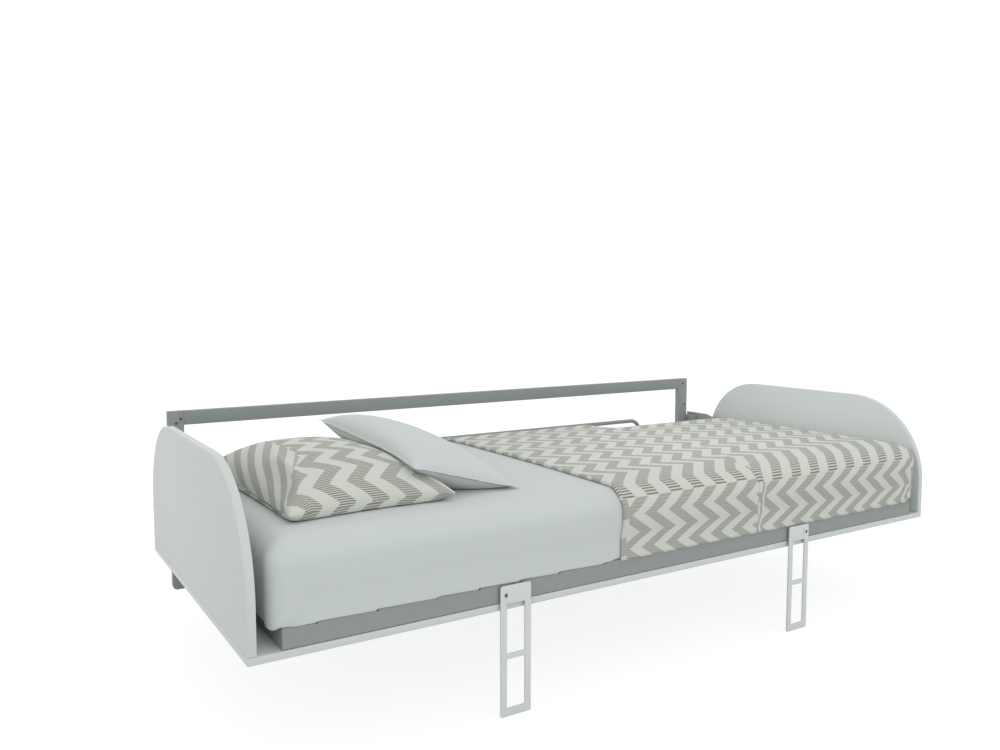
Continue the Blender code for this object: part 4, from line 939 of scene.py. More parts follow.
class LegsOperator(Operator):
    """Makes the two flat legs with their bolts and spacers"""
    bl_idname = "folding_bed.make_legs"
    bl_label = "Legs"

    edge = 0.6 * MM
    spacer_edge = 0.4 * MM
    socket_radius = 0.0022
    socket_depth = 0.0016

    def execute(self, context):
        sizes, colours = context.scene.bed_sizes, context.scene.bed_colours
        white = material_for("white_powder_coat", powder_coat, colours.white_steel, 0.4)
        nylon = material_for("black_nylon", black_nylon)
        for side in SIDES:
            self.leg(side, white, sizes)
            self.bolt(side, white)
            node = f"leg_spacer_{side}"
            spacer = refined_copy(node, f"nylon_spacer_{side}", self.spacer_edge)
            complete(spacer, nylon, "nylon", "bed", node)
        return {"FINISHED"}

    def leg(self, side, material, sizes):
        """A plate with rounded corners and two windows cut through it."""
        node = f"leg_{side}"
        low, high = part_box(node)
        plate = new_box(f"flat_leg_{side}", low, high)
        round_edges(plate, lambda edge: runs_along(edge, Y_AXIS), sizes.leg_corner, 6)
        window_x = (low.x + sizes.leg_side_bar, high.x - sizes.leg_side_bar)
        cross_top = high.z - sizes.leg_cross_drop
        levels = (low.z + sizes.leg_foot_bar, cross_top - sizes.leg_cross_bar, cross_top,
                  high.z - sizes.leg_head)
        cuts = [((x, 0, 0), (1, 0, 0)) for x in window_x]
        cuts += [((0, 0, z), (0, 0, 1)) for z in levels]
        for place, normal in cuts:
            edit(plate, "FACE", lambda face: True)
            bpy.ops.mesh.bisect(plane_co=place, plane_no=normal)
            leave_edit()
        for low_z, high_z in (levels[:2], levels[2:]):
            def in_window(face):
                centre = face.calc_center_median()
                return (abs(face.normal.y) > SAME_WAY and low_z < centre.z < high_z
                        and window_x[0] < centre.x < window_x[1])
            edit(plate, "FACE", in_window)
            bpy.ops.mesh.delete(type="FACE")
            leave_edit()
            edit(plate, "EDGE", lambda edge: edge.is_boundary)
            bpy.ops.mesh.bridge_edge_loops()
            leave_edit()
        edit(plate, "FACE", lambda face: True)
        bpy.ops.mesh.normals_make_consistent(inside=False)
        bpy.ops.mesh.dissolve_limited(angle_limit=FLAT_ANGLE)
        leave_edit()
        break_edges(plate, self.edge)
        complete(plate, material, "white_steel", node, node)

    def bolt(self, side, material):
        """A bolt whose low head has a hexagon socket."""
        node = f"leg_bolt_{side}"
        bolt = refined_copy(node, f"hex_bolt_{side}", 0)
        place = Vector(middle_of(node))
        place.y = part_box(node)[0].y
        bpy.ops.object.select_all(action="DESELECT")
        bpy.ops.mesh.primitive_cylinder_add(vertices=6, radius=self.socket_radius,
                                            depth=2 * self.socket_depth, location=place,
                                            rotation=(math.pi / 2, 0, 0))
        tool = bpy.context.object
        bpy.ops.object.transform_apply(location=True, rotation=True, scale=True)
        activate(bolt)
        socket = bolt.modifiers.new("socket", "BOOLEAN")
        socket.object = tool
        bpy.ops.object.modifier_apply(modifier=socket.name)
        bpy.data.objects.remove(tool, do_unlink=True)
        complete(bolt, material, "zinc", "bed", node)
        # The socket's faces take the dark steel: painted shade in the recess, on a head in the
        # leg's white coat
        bolt.data.materials.append(material_for("blackened_steel", blackened_steel))
        for polygon in bolt.data.polygons:
            offset = polygon.center - place
            if offset.xz.length < self.socket_radius and offset.y < 2 * self.socket_depth:
                polygon.material_index = 1


class MattressOperator(Operator):
    """Makes the mattress in its fitted sheet"""
    bl_idname = "folding_bed.make_mattress"
    bl_label = "Mattress"

    along_cells = 230
    across_cells = 84
    top_steps = 3
    round_steps = 9
    side_steps = 13
    edge_steps = 4
    under_steps = 5
    edge_radius = 0.006
    # The sheet's waves: how close they are level and upright, an offset and their share
    waves = ((4.5, 6, 2, 1), (11, 9, 0, 0.4))
    wave_height = 0.0011
    wave_grows = (0.004, 0.050)
    # Where the sheet goes under the coverlet, from the coverlet's hem
    cover_fade = (-0.035, -0.008)
    bulge_left = 0.52
    # The hem in front: outward of the outline and above the underside, step by step
    lip = ((0.0032, 0.0050), (0.0037, 0.0015), (0.0030, 0.0), (0.0017, 0.0004), (0.00135, 0.0002))
    lip_drop = 0.0030
    lip_rise = 0.0004
    lip_facing = (0.86, 0.97)
    # At the head end the lower edge sags a little over the end of the base
    sag_depth = 0.007
    sag_along = (0.9847, 1.0)

    def execute(self, context):
        sizes, colours = context.scene.bed_sizes, context.scene.bed_colours
        sheet = material_for("cotton_sheet", cotton_percale, colours.sheet)
        self.cover_x = MATTRESS_HIGH.x - sizes.coverlet_reach
        self.slats = [middle_of(node)[0] for node in SLATS]
        section = self.section()
        along = grid_lines(-CENTRE_X, CENTRE_X, self.along_cells, len(section) - 1)
        across = grid_lines(FRONT_LINE, BACK_LINE, self.across_cells, len(section) - 1)
        places = []
        for s, end in along:
            for t, side in across:
                step = max(abs(end), abs(side))
                reach, height = section[step]
                direction = outward(end, side)
                place = Vector((s, t, 0)) + direction * reach
                place.z = height
                places.append(self.settle(place, direction, step))
        faces = grid_faces(len(along), len(across))
        self.close_underside(places, faces, along, across)
        body = mesh_piece("fitted_mattress", places, faces)
        edit(body, "VERT", lambda vertex: True)
        bpy.ops.mesh.remove_doubles(threshold=SAME_PLACE)
        leave_edit()
        complete(body, sheet, "fitted_sheet", "bed", "mattress", soft=True)
        return {"FINISHED"}

    def section(self):
        """Reach from the centre line and height, over the edge and under the mattress."""
        low, high = MATTRESS_LOW.z, MATTRESS_SHOULDER
        outer = MATTRESS_CORNER_RADIUS
        points = [(TOP_RUN * i / self.top_steps, high) for i in range(self.top_steps)]
        for i in range(self.round_steps):
            angle = math.pi / 2 * i / self.round_steps
            points.append((TOP_RUN + MATTRESS_TOP_RADIUS * math.sin(angle),
                           high - MATTRESS_TOP_RADIUS * (1 - math.cos(angle))))
        top, bottom = high - MATTRESS_TOP_RADIUS, low + self.edge_radius
        points += [(outer, top + (bottom - top) * i / self.side_steps)
                   for i in range(self.side_steps)]
        self.lip_start = len(points)
        for i in range(self.edge_steps + 1):
            angle = math.pi / 2 * i / self.edge_steps
            points.append((outer - self.edge_radius * (1 - math.cos(angle)),
                           bottom - self.edge_radius * math.sin(angle)))
        under = outer - self.edge_radius
        points += [(under * (1 - (i + 1) / self.under_steps), low)
                   for i in range(self.under_steps)]
        return points

    def close_underside(self, places, faces, along, across):
        """Add the level middle of the underside, between the centre lines."""
        start = len(places)
        for s, end in along:
            places += [Vector((s, t, MATTRESS_LOW.z)) for t, side in across
                       if end == 0 and side == 0]
        faces += [(start + a, start + d, start + c, start + b)
                  for a, b, c, d in grid_faces(self.along_cells + 1, self.across_cells + 1)]

    def settle(self, place, direction, step):
        """Crown the top, let the sheet undulate and hang its front hem over the base."""
        low = MATTRESS_LOW.z
        height = place.z - low
        share = min(max(height / (MATTRESS_SHOULDER - low), 0), 1)
        bare = 1 - smooth_share(place.x - self.cover_x, *self.cover_fade)
        side = min((MATTRESS_SHOULDER - place.z) / MATTRESS_TOP_RADIUS, 1)
        moved = place.copy()
        moved.z += top_form(place.x, place.y) * share * share
        # The waves fade towards the underside and under the coverlet.
        wave = sum(part * noise.noise(Vector((place.x * level, place.y * level,
                                              place.z * upright + offset)))
                   for level, upright, offset, part in self.waves)
        swell = self.wave_height * wave * bare * smooth_share(height, *self.wave_grows)
        way = direction.normalized()
        moved += (way * side + Z_AXIS * (1 - side)).normalized() * swell
        front = max(-way.y, 0) ** 4
        if front and place.z > low and step < self.lip_start:
            moved.y -= front * front_bulge(place, self.bulge_left * bare)
        hem_step = step - self.lip_start
        if front and 0 <= hem_step < len(self.lip):
            out, above = self.lip[hem_step]
            drop = self.hem_drop(place.x) if 0 < hem_step < len(self.lip) - 1 else 0
            hem = Vector((place.x, MATTRESS_LOW.y - out, low + above - drop))
            moved = moved.lerp(hem, smooth_share(-way.y, *self.lip_facing) * bare)
        if place.z > low or step < self.lip_start + len(self.lip):
            beyond = smooth_share(-place.x, *self.sag_along)
            moved.z -= self.sag_depth * beyond * (1 - share) ** 3
        return moved

    def hem_drop(self, x):
        """The hem hangs a little lower from each slat to the next one, and then steps up."""
        for left, right in zip(self.slats, self.slats[1:]):
            if left <= x < right:
                share = (x - left) / (right - left)
                return self.lip_drop * share - self.lip_rise
        return self.lip_drop / 2


class CoverletOperator(Operator):
    """Makes the zigzag coverlet over the foot of the mattress"""
    bl_idname = "folding_bed.make_coverlet"
    bl_label = "Coverlet"

    # The drop at the back, and along the foot end how far it hangs low and then rises
    back_drop = 0.050
    foot_hang = 0.300
    foot_run = 0.300
    crease_angle = math.radians(61)
    # Its cells
    cell = 0.0052
    across_cells = 120
    step_length = 0.0062
    # Close lines of cells that shape the hem and the tuck
    hem_lines = (0.0012, 0.0028)
    tuck_lines = (-0.0018, -0.0004, 0.0004, 0.0018)

    # How it lies: off the mattress, over the front tube's edge, and up at the foot corners
    gap = 0.0006
    hem_rise = -0.003
    rail_room = 0.0006
    rail_drop = (0.150, 0.165)
    corner_rise = 0.022
    corner_turn = (0.15, 0.9)
    # Its unevenness: the mean lift, and of each wave how close it is, an offset and its height
    ripple_mean = 0.0011
    ripples = ((9, 3.1, 0.0008), (21, 8.4, 0.00048), (48, 1.7, 0.0003))
    hanging_calm = 0.9
    calm_from = 0.02
    # Folds that fan out over the front foot corner: height, closeness round it and slant, the
    # drop over which they grow, and the angle short of the front where they stop
    corner_folds = (0.0016, 22, 70)
    folds_grow = (0.0, 0.02)
    folds_stop = 0.05

    # The cloth's thickness, from full along the hem to thin where the folded legs pass
    hem_loft = 0.0088
    hem_width = 0.011
    hem_end_share = 0.55
    hem_end_grows = (-0.01, 0.25)
    front_loft = 0.0034
    front_thins = (0.06, 0.12)

    # A turned strip along the hem in front, with slanted bands of its own
    facing = 0.013
    facing_start = 0.070
    facing_slope = 0.85
    facing_lean = 0.1
    # Ribs, with their painted shade, show near the hem and on the wrinkle: the attribute from_hem
    # is at most this
    from_hem_limit = 0.03

    # Where a dark band's left edge turns: run of cloth from the crease, and place along the bed
    top_turns = ((0, -0.0070), (0.0325, -0.0200), (0.127, 0.0774))
    past_turns = ((0, -0.0340), (0.0325, -0.0120), (0.127, 0.0774))
    top_rows = (0.056, 0.065)
    top_edges = (0.0083, 0.0775)
    front_turns = ((0, -0.0431), (0.0352, -0.1020), (0.0800, -0.0320), (0.1200, -0.1020),
                   (0.1640, -0.0320))

    # A tuck in front that hides one pitch of the pattern
    tuck_x = 0.299
    tuck_start = 0.5 * MM
    tuck_width = 0.024
    tuck_rise = 0.0030
    tuck_edge = 0.0012
    tuck_grows = (0.004, 0.018)
    tuck_flat_share = 0.92
    tuck_flattens = (0.05, 0.11)
    # Past the tuck the crease lies this much lower
    crease_drop = 0.0095
    drop_fade = (0.02, 0.12)
    # A wrinkle in the top that runs out from the tuck
    wrinkle = ((0.306, -0.982), (0.3164, -0.9344), (0.3226, -0.8858), (0.3528, -0.7934),
               (0.401, -0.6822))
    wrinkle_rise = 0.0042
    wrinkle_width = 0.009
    wrinkle_fade = 0.7

    def execute(self, context):
        sizes, colours = context.scene.bed_sizes, context.scene.bed_colours
        self.hem_x = MATTRESS_HIGH.x - sizes.coverlet_reach
        material = material_for("zigzag_coverlet", zigzag_jacquard, sizes, colours, True)
        self.edge_run = TOP_RUN + MATTRESS_TOP_RADIUS * math.pi / 2
        self.crease_run = TOP_RUN + MATTRESS_TOP_RADIUS * self.crease_angle
        item, cut_area = self.cloth(sizes)
        self.thicken(item, sizes)
        complete(item, material, "zigzag_cloth", "bed", "coverlet", soft=True)
        return {"FINISHED"}

    def hem_height(self, y):
        """How low the cloth hangs: to the base in front, less towards the back."""
        low = RAIL_HIGH.z + self.hem_rise
        high = MATTRESS_SHOULDER - self.back_drop
        share = (y - MATTRESS_LOW.y - self.foot_hang) / self.foot_run
        return low + (high - low) * min(max(share, 0), 1)

    def fall(self, run):
        """The outward reach and the height at a run of cloth from the edge's centre line."""
        if run <= TOP_RUN:
            return run, MATTRESS_SHOULDER
        if run <= self.edge_run:
            angle = (run - TOP_RUN) / MATTRESS_TOP_RADIUS
            return (TOP_RUN + MATTRESS_TOP_RADIUS * math.sin(angle),
                    MATTRESS_SHOULDER - MATTRESS_TOP_RADIUS * (1 - math.cos(angle)))
        return (MATTRESS_CORNER_RADIUS,
                MATTRESS_SHOULDER - MATTRESS_TOP_RADIUS - (run - self.edge_run))

    def full_run(self, y):
        """The run of cloth from an edge's centre line down to the hem."""
        return self.edge_run + MATTRESS_SHOULDER - MATTRESS_TOP_RADIUS - self.hem_height(y)

    def step_shares(self):
        """Shares of the full run at each step, with steps at the pattern's turns in front."""
        full = self.full_run(MATTRESS_LOW.y)
        turns = [-self.top_turns[1][0]] + [run for run, edge in self.front_turns[:-1]]
        marks = sorted([0, full] + [self.crease_run + run + lower for run in turns
                                    for lower in (0, self.crease_drop)])
        shares = [0]
        for start, stop in zip(marks, marks[1:]):
            cells = max(round((stop - start) / self.step_length), 1)
            shares += [(start + (stop - start) * (i + 1) / cells) / full for i in range(cells)]
        self.steps = len(shares) - 1
        # The steps at the crease, before and past the tuck
        self.crease_steps = [
            min(range(len(shares)), key=lambda step: abs(shares[step] * full - run))
            for run in (self.crease_run, self.crease_run + self.crease_drop)]
        return shares

    def band_edge(self, run, in_front, past):
        """Where a dark band's left edge lies at a run of cloth from the crease."""
        turns = list(self.front_turns if in_front else
                     self.past_turns if past else self.top_turns)
        while not in_front and turns[-1][0] < abs(run):
            turns.append((turns[-1][0] + self.top_rows[len(turns) % 2 - 1],
                          self.top_edges[len(turns) % 2 - 1]))
        for (start, first), (stop, second) in zip(turns, turns[1:]):
            if abs(run) <= stop:
                return first + (second - first) * (abs(run) - start) / (stop - start)
        return turns[-1][1]

    def cloth(self, sizes):
        """The coverlet's inner surface as a grid with the pattern's place as its UV map."""
        shares = self.step_shares()
        count = round((CENTRE_X - self.hem_x) / self.cell)
        places_x = {self.hem_x + (CENTRE_X - self.hem_x) * i / count for i in range(count + 1)}
        places_x |= {self.hem_x + offset for offset in self.hem_lines}
        places_x |= {self.tuck_x + offset for offset in self.tuck_lines}
        along = [(x, 0) for x in sorted(places_x)]
        along += [(CENTRE_X, step) for step in range(1, self.steps + 1)]
        across = grid_lines(FRONT_LINE, BACK_LINE, self.across_cells, self.steps)
        across = self.with_turns(across)
        places, flats = [], []
        for s, end in along:
            for t, side in across:
                step = max(abs(end), abs(side))
                direction = outward(end, side)
                edge_y = t if side == 0 else (MATTRESS_LOW.y if side < 0 else MATTRESS_HIGH.y)
                run = shares[step] * self.full_run(edge_y)
                reach, height = self.fall(run)
                place = Vector((s, t, 0)) + direction * reach
                place.z = height
                flat = Vector((s, t)) + direction.xy * run
                places.append(self.settle(place, flat, direction))
                flats.append(flat)
        faces = grid_faces(len(along), len(across))
        item = mesh_piece("coverlet_cloth", places, faces)
        self.lay_pattern(item, flats, len(across), sizes)
        return item, self.cut(flats, faces, sizes)

    def cut(self, flats, faces, sizes):
        """Keep the size of the flat cloth, with what the tuck hides, and return its area."""
        low = Vector((min(f.x for f in flats), min(f.y for f in flats)))
        high = Vector((max(f.x for f in flats), max(f.y for f in flats)))
        self.flat = (high.y - low.y, high.x - low.x + sizes.zigzag_pitch)
        area = 0
        for face in faces:
            a, b, c, d = (flats[index] for index in face)
            area += abs((c - a).cross(d - b)) / 2
        return min(area, self.flat[0] * self.flat[1])

    def with_turns(self, across):
        """Move the nearest grid line to each turn of the pattern on the top."""
        moved = list(across)
        run, row = self.top_turns[-1][0], 0
        while FRONT_LINE - self.crease_run + run < BACK_LINE:
            turn = FRONT_LINE - self.crease_run + run
            nearest = min((index for index, line in enumerate(across) if line[1] == 0),
                          key=lambda index: abs(across[index][0] - turn))
            if across[nearest][0] not in (FRONT_LINE, BACK_LINE):
                moved[nearest] = (turn, 0)
            run += self.top_rows[row % 2]
            row += 1
        return moved

    def lay_pattern(self, item, flats, count, sizes):
        """Give each face its place in the pattern, which starts anew along the front crease.

        U is the distance along the bed from a dark band's left edge, and V runs across the cloth.
        """
        crease_y = FRONT_LINE - self.crease_run
        layer = item.data.uv_layers.new(name="flat_cloth")
        for polygon in item.data.polygons:
            column = min(index % count for index in polygon.vertices)
            middle = sum(flats[index].x for index in polygon.vertices) / 4
            past = middle > self.tuck_x
            in_front = column < self.steps - self.crease_steps[past]
            for loop in polygon.loop_indices:
                flat = flats[item.data.loops[loop].vertex_index]
                v = flat.y - crease_y
                if past:
                    v += self.crease_drop * (1 - smooth_share(v, *self.drop_fade))
                u = flat.x - self.band_edge(v, in_front, past)
                if in_front:
                    u += sizes.zigzag_pitch * self.tuck_share(flat.x)
                    if middle < self.hem_x + self.facing:
                        u = (self.facing_slope * (-v - self.facing_start)
                             + self.facing_lean * flat.x)
                layer.data[loop].uv = (u, v)
        # from_hem steers where the ribs show with their painted shade: along the hem and, lowered
        # there, on the wrinkle
        edge = item.data.attributes.new("from_hem", "FLOAT", "POINT")
        edge.data.foreach_set("value", [
            min(flat.x - self.hem_x, self.from_hem_limit * (1 - self.near_wrinkle(vertex.co)))
            for flat, vertex in zip(flats, item.data.vertices)])

    def tuck_share(self, x):
        """How much of the tuck's hidden cloth is used up at a place along the bed."""
        return smooth_share(x, self.tuck_x - self.tuck_start, self.tuck_x + self.tuck_width)

    def settle(self, place, flat, direction):
        """Lift the cloth off the mattress, with its crown, waves, tuck and wrinkles."""
        drop = MATTRESS_SHOULDER - place.z
        side = min(drop / MATTRESS_TOP_RADIUS, 1)
        share = min(max((place.z - MATTRESS_LOW.z) / (MATTRESS_SHOULDER - MATTRESS_LOW.z), 0), 1)
        way = direction.normalized()
        normal = Z_AXIS
        turn = math.pi / 2
        if direction.length:
            normal = (way * math.sin(side * math.pi / 2)
                      + Z_AXIS * math.cos(side * math.pi / 2)).normalized()
            turn = abs(math.atan2(-way.y, way.x))
        front = max(-way.y, 0) ** 4
        lift = (self.gap + self.unevenness(flat, drop, way) + self.tuck_lift(place.x, drop, front)
                + self.fold_lift(turn, drop, way))
        # Room for the front tube, over which the hem hangs
        lift += self.rail_room * front * smooth_share(drop, *self.rail_drop)
        bulge = front * front_bulge(place, 0)
        place = place + normal * lift
        place.y -= bulge
        place.z += top_form(place.x, place.y) * share * share
        beside = smooth_share(math.pi / 2 - turn, *self.corner_turn) if way.x > 0 else 0
        place.z += self.corner_rise * beside * (1 - share) ** 2
        if direction.length == 0 or drop < SAME_PLACE:
            place.z += self.wrinkle_rise * self.near_wrinkle(place)
        return place

    def unevenness(self, flat, drop, way):
        """Small waves all over the cloth, which are calmer where it hangs in front."""
        hanging = smooth_share(drop, self.calm_from, MATTRESS_TOP_RADIUS) * max(-way.y, 0)
        waves = sum(height * noise.noise(Vector((flat.x * near, flat.y * near, offset)))
                    for near, offset, height in self.ripples)
        return (self.ripple_mean + waves) * (1 - self.hanging_calm * hanging)

    def tuck_lift(self, x, drop, front):
        """The tuck stands out from its edge and dies away past it and further down."""
        if not front or x >= CENTRE_X + SAME_PLACE:
            return 0
        strip = smooth_share(x, self.tuck_x - self.tuck_edge, self.tuck_x + self.tuck_edge)
        strip -= smooth_share(x, self.tuck_x + 0.5 * self.tuck_width,
                              self.tuck_x + self.tuck_width)
        flattened = 1 - self.tuck_flat_share * smooth_share(drop, *self.tuck_flattens)
        return self.tuck_rise * strip * flattened * smooth_share(drop, *self.tuck_grows)

    def fold_lift(self, turn, drop, way):
        """The folds round the front foot corner, where the cloth turns from front to foot end."""
        if turn >= math.pi / 2 - self.folds_stop or way.y >= 0:
            return 0
        rise, round_it, slant = self.corner_folds
        corner = math.sin(2 * turn) * smooth_share(drop, *self.folds_grow)
        return rise * (1 + math.sin(turn * round_it + drop * slant)) * corner

    def near_wrinkle(self, place):
        """From 1 on the wrinkle's line to 0 beside it, less towards its far end."""
        best = 0
        spans = list(zip(self.wrinkle, self.wrinkle[1:]))
        for index, (first, second) in enumerate(spans):
            first, second = Vector(first), Vector(second)
            span = second - first
            at = min(max((place.xy - first).dot(span) / span.length_squared, 0), 1)
            away = (place.xy - first - span * at).length / self.wrinkle_width
            fade = 1 - self.wrinkle_fade * (index + at) / len(spans)
            best = max(best, fade * math.exp(-away * away))
        return best

    def thicken(self, item, sizes):
        """Give the cloth its loft: fuller along the hem, thin where the folded legs pass."""
        group = item.vertex_groups.new(name="loft")
        for vertex in item.data.vertices:
            place = vertex.co
            loft = sizes.coverlet_loft
            from_hem = (place.x - self.hem_x) / self.hem_width
            if from_hem < 1:
                loft += (self.hem_loft - loft) * math.sqrt(max(1 - from_hem * from_hem, 0))
                loft *= self.hem_end_share + (1 - self.hem_end_share) * smooth_share(
                    from_hem, *self.hem_end_grows)
            if place.y < FRONT_LINE:
                hanging = smooth_share(MATTRESS_SHOULDER - place.z, *self.front_thins)
                loft += (self.front_loft - loft) * hanging
            group.add([vertex.index], loft / self.hem_loft, "REPLACE")
        activate(item)
        thick = item.modifiers.new("loft", "SOLIDIFY")
        thick.thickness = self.hem_loft
        thick.offset = 1
        thick.vertex_group = "loft"
        thick.use_even_offset = False
        bpy.ops.object.modifier_apply(modifier=thick.name)


class PillowsOperator(Operator):
    """Makes the two pillows at the head"""
    bl_idname = "folding_bed.make_pillows"
    bl_label = "Pillows"

    across_cells = 96
    along_cells = 180
    squareness = 2.6
    waist_share = 0.06
    gap = 0.0006
    blur_passes = 20
    soft_meeting = 0.010
    keep_share = 0.72
    # Half the thickness of a flange, and how square its edge is
    flange_half = 0.0011
    flange_squareness = 16
    # Small waves of a gathered rim: how close they are each way, and where they begin
    gather_waves = (7, 9, 4.6)
    gather_grows = (0.7, 1)
    # A fold: the way it runs, its bend and how often, where it grows and fades, its width,
    # and the depth, place and width of the dent beside it
    fold_way = Vector((0.42, 0.91))
    fold_bend = (0.10, 5)
    fold_grows, fold_fades = (0.12, 0.35), (0.6, 1.2)
    fold_width = 0.07
    dent = (0.9, 0.2, 0.13)
    # The pattern: its first turn, and on the head side, where the cloth is turned, how far in
    # and from where along the pillow that side reaches, and U and V from the two runs
    first_turn = -0.012
    head_start = -0.5
    head_front = (-1.0, -0.25)
    head_u = (1.675, -0.756, -0.518)
    head_v = (0.25, 0.55)

    # Each pillow: its size, the height of its rim over the mattress, its middle from the head
    # and the front, its turn and tilts, how far back its highest line is, the heights of its
    # fold and of its gathered rim, and the share of it that is a flat flange
    lower = {"width": 0.385, "length": 0.607, "rise": 0.0908, "seam": 0.0136,
             "from_head": 0.249, "from_front": 0.4058, "turn": math.radians(1.7),
             "side_tilt": 0.0, "end_tilt": 0.0, "peak": -0.12, "fold": 0.012, "gather": 0.0,
             "flange": 0.0}
    upper = {"width": 0.277, "length": 0.576, "rise": 0.0641, "seam": 0.0585,
             "from_head": 0.491, "from_front": 0.418, "turn": math.radians(1.4),
             "side_tilt": 0.0394, "end_tilt": 0.0222, "peak": 0.0, "fold": 0.0,
             "gather": 0.0016, "flange": 0.045}

    def execute(self, context):
        sizes, colours = context.scene.bed_sizes, context.scene.bed_colours
        patterned = material_for("zigzag_pillow", zigzag_jacquard, sizes, colours, False)
        plain = material_for("cotton_pillow", cotton_percale, colours.pillow)
        top = MATTRESS_HIGH.z + self.gap
        first = self.pillow("zigzag_pillow", self.lower, lambda place: top, sizes)
        self.dress(first, patterned, "zigzag_cloth", "pillow_patterned")
        tree = BVHTree.FromPolygons([vertex.co for vertex in first.data.vertices],
                                    [polygon.vertices for polygon in first.data.polygons])

        def support(place):
            start = Vector((place.x, place.y, top + 1))
            hit = tree.ray_cast(start, -Z_AXIS)[0]
            return top if hit is None else max(top, hit.z + self.gap)
        second = self.pillow("plain_pillow", self.upper, support, sizes)
        self.dress(second, plain, "plain_cloth", "pillow_plain")
        return {"FINISHED"}

    def crown(self, u, v, peak):
        """The share of its full rise that a pillow has at a place from -1 to 1 each way."""
        u = (u - peak) / (1 - peak if u > peak else 1 + peak)
        across = 1 - min(abs(u), 1) ** self.squareness
        along = 1 - min(abs(v), 1) ** self.squareness
        return math.sqrt(max(across * along, 0))

    def supports(self, plan, support):
        """What lies under each grid point, with a gentle slope where it drops away."""
        under = {key: support(place) for key, place in plan.items()}
        soft = dict(under)
        for _ in range(self.blur_passes):
            following = {}
            for (i, j), own in under.items():
                near = [soft[key] for key in ((i - 1, j), (i + 1, j), (i, j - 1), (i, j + 1))
                        if key in soft]
                following[i, j] = max(own, sum(near) / len(near))
            soft = following
        return soft

    def pillow(self, name, form, support, sizes):
        """A closed pillow whose seam is its rim, with its pattern's place as its UV map."""
        spots, plan = self.plan(form)
        under = self.supports(plan, support)
        points, upper, lower = [], {}, {}
        for (i, j), spot in spots.items():
            place, rest = plan[i, j], under[i, j]
            seam, rise = self.heights(form, spot, rest)
            upper[i, j] = lower[i, j] = len(points)
            fold = form["fold"] * self.fold(*spot)
            points.append(Vector((place.x, place.y, seam + (rise + fold))))
            if 0 < i < self.across_cells and 0 < j < self.along_cells:
                lower[i, j] = len(points)
                points.append(Vector((place.x, place.y, max(rest, seam - rise))))
        faces, flat = [], {}
        for layer in (upper, lower):
            self.measure(points, layer, flat)
            for i in range(self.across_cells):
                for j in range(self.along_cells):
                    corners = (layer[i, j], layer[i + 1, j], layer[i + 1, j + 1], layer[i, j + 1])
                    faces.append(corners if layer is upper else corners[::-1])
        item = mesh_piece(name, points, faces)
        spot_of = {index: spots[key] for part in (upper, lower) for key, index in part.items()}
        self.lay_pattern(item, spot_of, flat, sizes)
        return item

    def plan(self, form):
        """Each grid point's spot, from -1 to 1 both ways, and its place seen from above."""
        middle = Vector((form["from_head"] - MATTRESS_HIGH.x, PANEL_LOW.y + form["from_front"]))
        cos_turn, sin_turn = math.cos(form["turn"]), math.sin(form["turn"])
        spots, plan = {}, {}
        for i in range(self.across_cells + 1):
            for j in range(self.along_cells + 1):
                u = math.sin(math.pi / 2 * (2 * i / self.across_cells - 1))
                v = math.sin(math.pi / 2 * (2 * j / self.along_cells - 1))
                x = form["width"] / 2 * u * (1 - self.waist_share * (1 - v * v))
                y = form["length"] / 2 * v * (1 - self.waist_share * (1 - u * u))
                spots[i, j] = (u, v)
                plan[i, j] = Vector((middle.x + x * cos_turn - y * sin_turn,
                                     middle.y + x * sin_turn + y * cos_turn))
        return spots, plan

    def heights(self, form, spot, rest):
        """The seam's height at a spot over what it rests on, and the rise above and below it."""
        u, v = spot
        rim = max(abs(u), abs(v))
        across, along, offset = self.gather_waves
        leaning = (MATTRESS_HIGH.z + form["seam"] - form["side_tilt"] * u
                   + form["end_tilt"] * v)
        leaning += (form["gather"] * noise.noise(Vector((across * u, along * v, offset)))
                    * smooth_share(rim, *self.gather_grows))
        # Where the leaning seam meets what lies under it, it follows that in a soft curve.
        difference = leaning - rest - self.gap
        seam = rest + self.gap + (difference + math.sqrt(
            difference * difference + self.soft_meeting ** 2)) / 2
        seam = min(seam, max(leaning, rest + self.gap) + self.soft_meeting / 2)
        inner = 1 - form["flange"]
        rise = form["rise"] * self.crown(u / inner, v / inner, form["peak"])
        if form["flange"]:
            rise = max(rise, self.flange_half * math.sqrt(1 - rim ** self.flange_squareness))
        return seam, rise

    def lay_pattern(self, item, spot_of, flat, sizes):
        """Give each face its place in the pattern, which is turned on the head side."""
        layer = item.data.uv_layers.new(name="flat_cloth")
        for polygon in item.data.polygons:
            corners = [spot_of[index] for index in polygon.vertices]
            u, v = (sum(corner[axis] for corner in corners) / 4 for axis in (0, 1))
            head_edge = -1 + (self.head_start + 1) * smooth_share(v, *self.head_front)
            for loop in polygon.loop_indices:
                along, across = flat[item.data.loops[loop].vertex_index]
                if u < head_edge:
                    place = (self.head_u[0] * along + self.head_u[1] * across + self.head_u[2],
                             self.head_v[0] * along + self.head_v[1] * across)
                else:
                    row = (across - self.first_turn) / sizes.zigzag_row
                    turn = abs(row - 2 * round(row / 2))
                    place = (along + sizes.zigzag_swing * turn, across)
                layer.data[loop].uv = place

    def fold(self, u, v):
        """A fold from the front head corner up the pillow, with a dent beside it."""
        offset = Vector((u + 1, v + 1))
        at = offset.dot(self.fold_way)
        bend, often = self.fold_bend
        aside = self.fold_way.cross(offset) + bend * math.sin(at * often)
        strength = smooth_share(at, *self.fold_grows) * (1 - smooth_share(at, *self.fold_fades))
        depth, place, width = self.dent
        return strength * (math.exp(-(aside / self.fold_width) ** 2)
                           - depth * math.exp(-((aside - place) / width) ** 2))

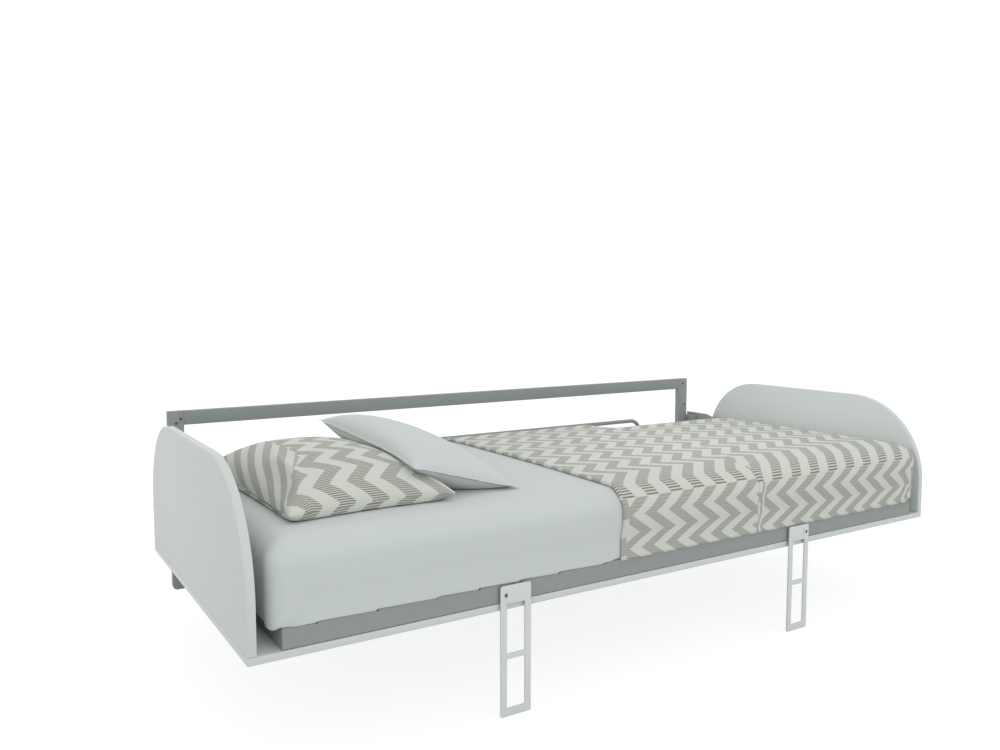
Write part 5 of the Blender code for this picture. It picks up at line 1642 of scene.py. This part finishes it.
    def measure(self, points, layer, flat):
        """Run of cloth from the pillow's middle to each point, both ways, in metres."""
        half_i, half_j = self.across_cells // 2, self.along_cells // 2
        runs_u, runs_v = {}, {}
        for j in range(self.along_cells + 1):
            runs_u[half_i, j] = 0
            for sign, stop in ((1, self.across_cells), (-1, 0)):
                for i in range(half_i + sign, stop + sign, sign):
                    step = (points[layer[i, j]] - points[layer[i - sign, j]]).length
                    runs_u[i, j] = runs_u[i - sign, j] + sign * step
        for i in range(self.across_cells + 1):
            runs_v[i, half_j] = 0
            for sign, stop in ((1, self.along_cells), (-1, 0)):
                for j in range(half_j + sign, stop + sign, sign):
                    step = (points[layer[i, j]] - points[layer[i, j - sign]]).length
                    runs_v[i, j] = runs_v[i, j - sign] + sign * step
        for key, index in layer.items():
            flat.setdefault(index, (runs_u[key], runs_v[key]))

    def dress(self, item, material, slot, node):
        """Finish a pillow, with a mesh of its own."""
        complete(item, material, slot, "bed", node, soft=True)
        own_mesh(item)


OPERATORS = (StageOperator, BoardsOperator, FramesOperator, HardwareOperator, RetainerOperator,
             SlatsOperator, LegsOperator, MattressOperator, CoverletOperator, PillowsOperator)


class VIEW3D_PT_folding_bed(Panel):
    """Lists the bed's sizes, colours and pieces in the sidebar"""
    bl_label = "Folding Bed"
    bl_space_type = "VIEW_3D"
    bl_region_type = "UI"
    bl_category = "Folding Bed"

    def draw(self, context):
        layout = self.layout
        for operator in OPERATORS:
            layout.operator(operator.bl_idname)
        for group in (context.scene.bed_sizes, context.scene.bed_colours):
            column = layout.column()
            for name in group.__annotations__:
                column.prop(group, name)


CLASSES = (BedSizes, BedColours, *OPERATORS, VIEW3D_PT_folding_bed)


def register():
    """Make the bed's classes and properties known to Blender."""
    for item in CLASSES:
        bpy.utils.register_class(item)
    bpy.types.Scene.bed_sizes = PointerProperty(type=BedSizes)
    bpy.types.Scene.bed_colours = PointerProperty(type=BedColours)


def unregister():
    """Take them out again."""
    del bpy.types.Scene.bed_colours
    del bpy.types.Scene.bed_sizes
    for item in reversed(CLASSES):
        bpy.utils.unregister_class(item)


def main():
    """Make the bed and its stage."""
    register()
    for operator in OPERATORS:
        family, name = operator.bl_idname.split(".")
        getattr(getattr(bpy.ops, family), name)()


if __name__ == "__main__":
    main()
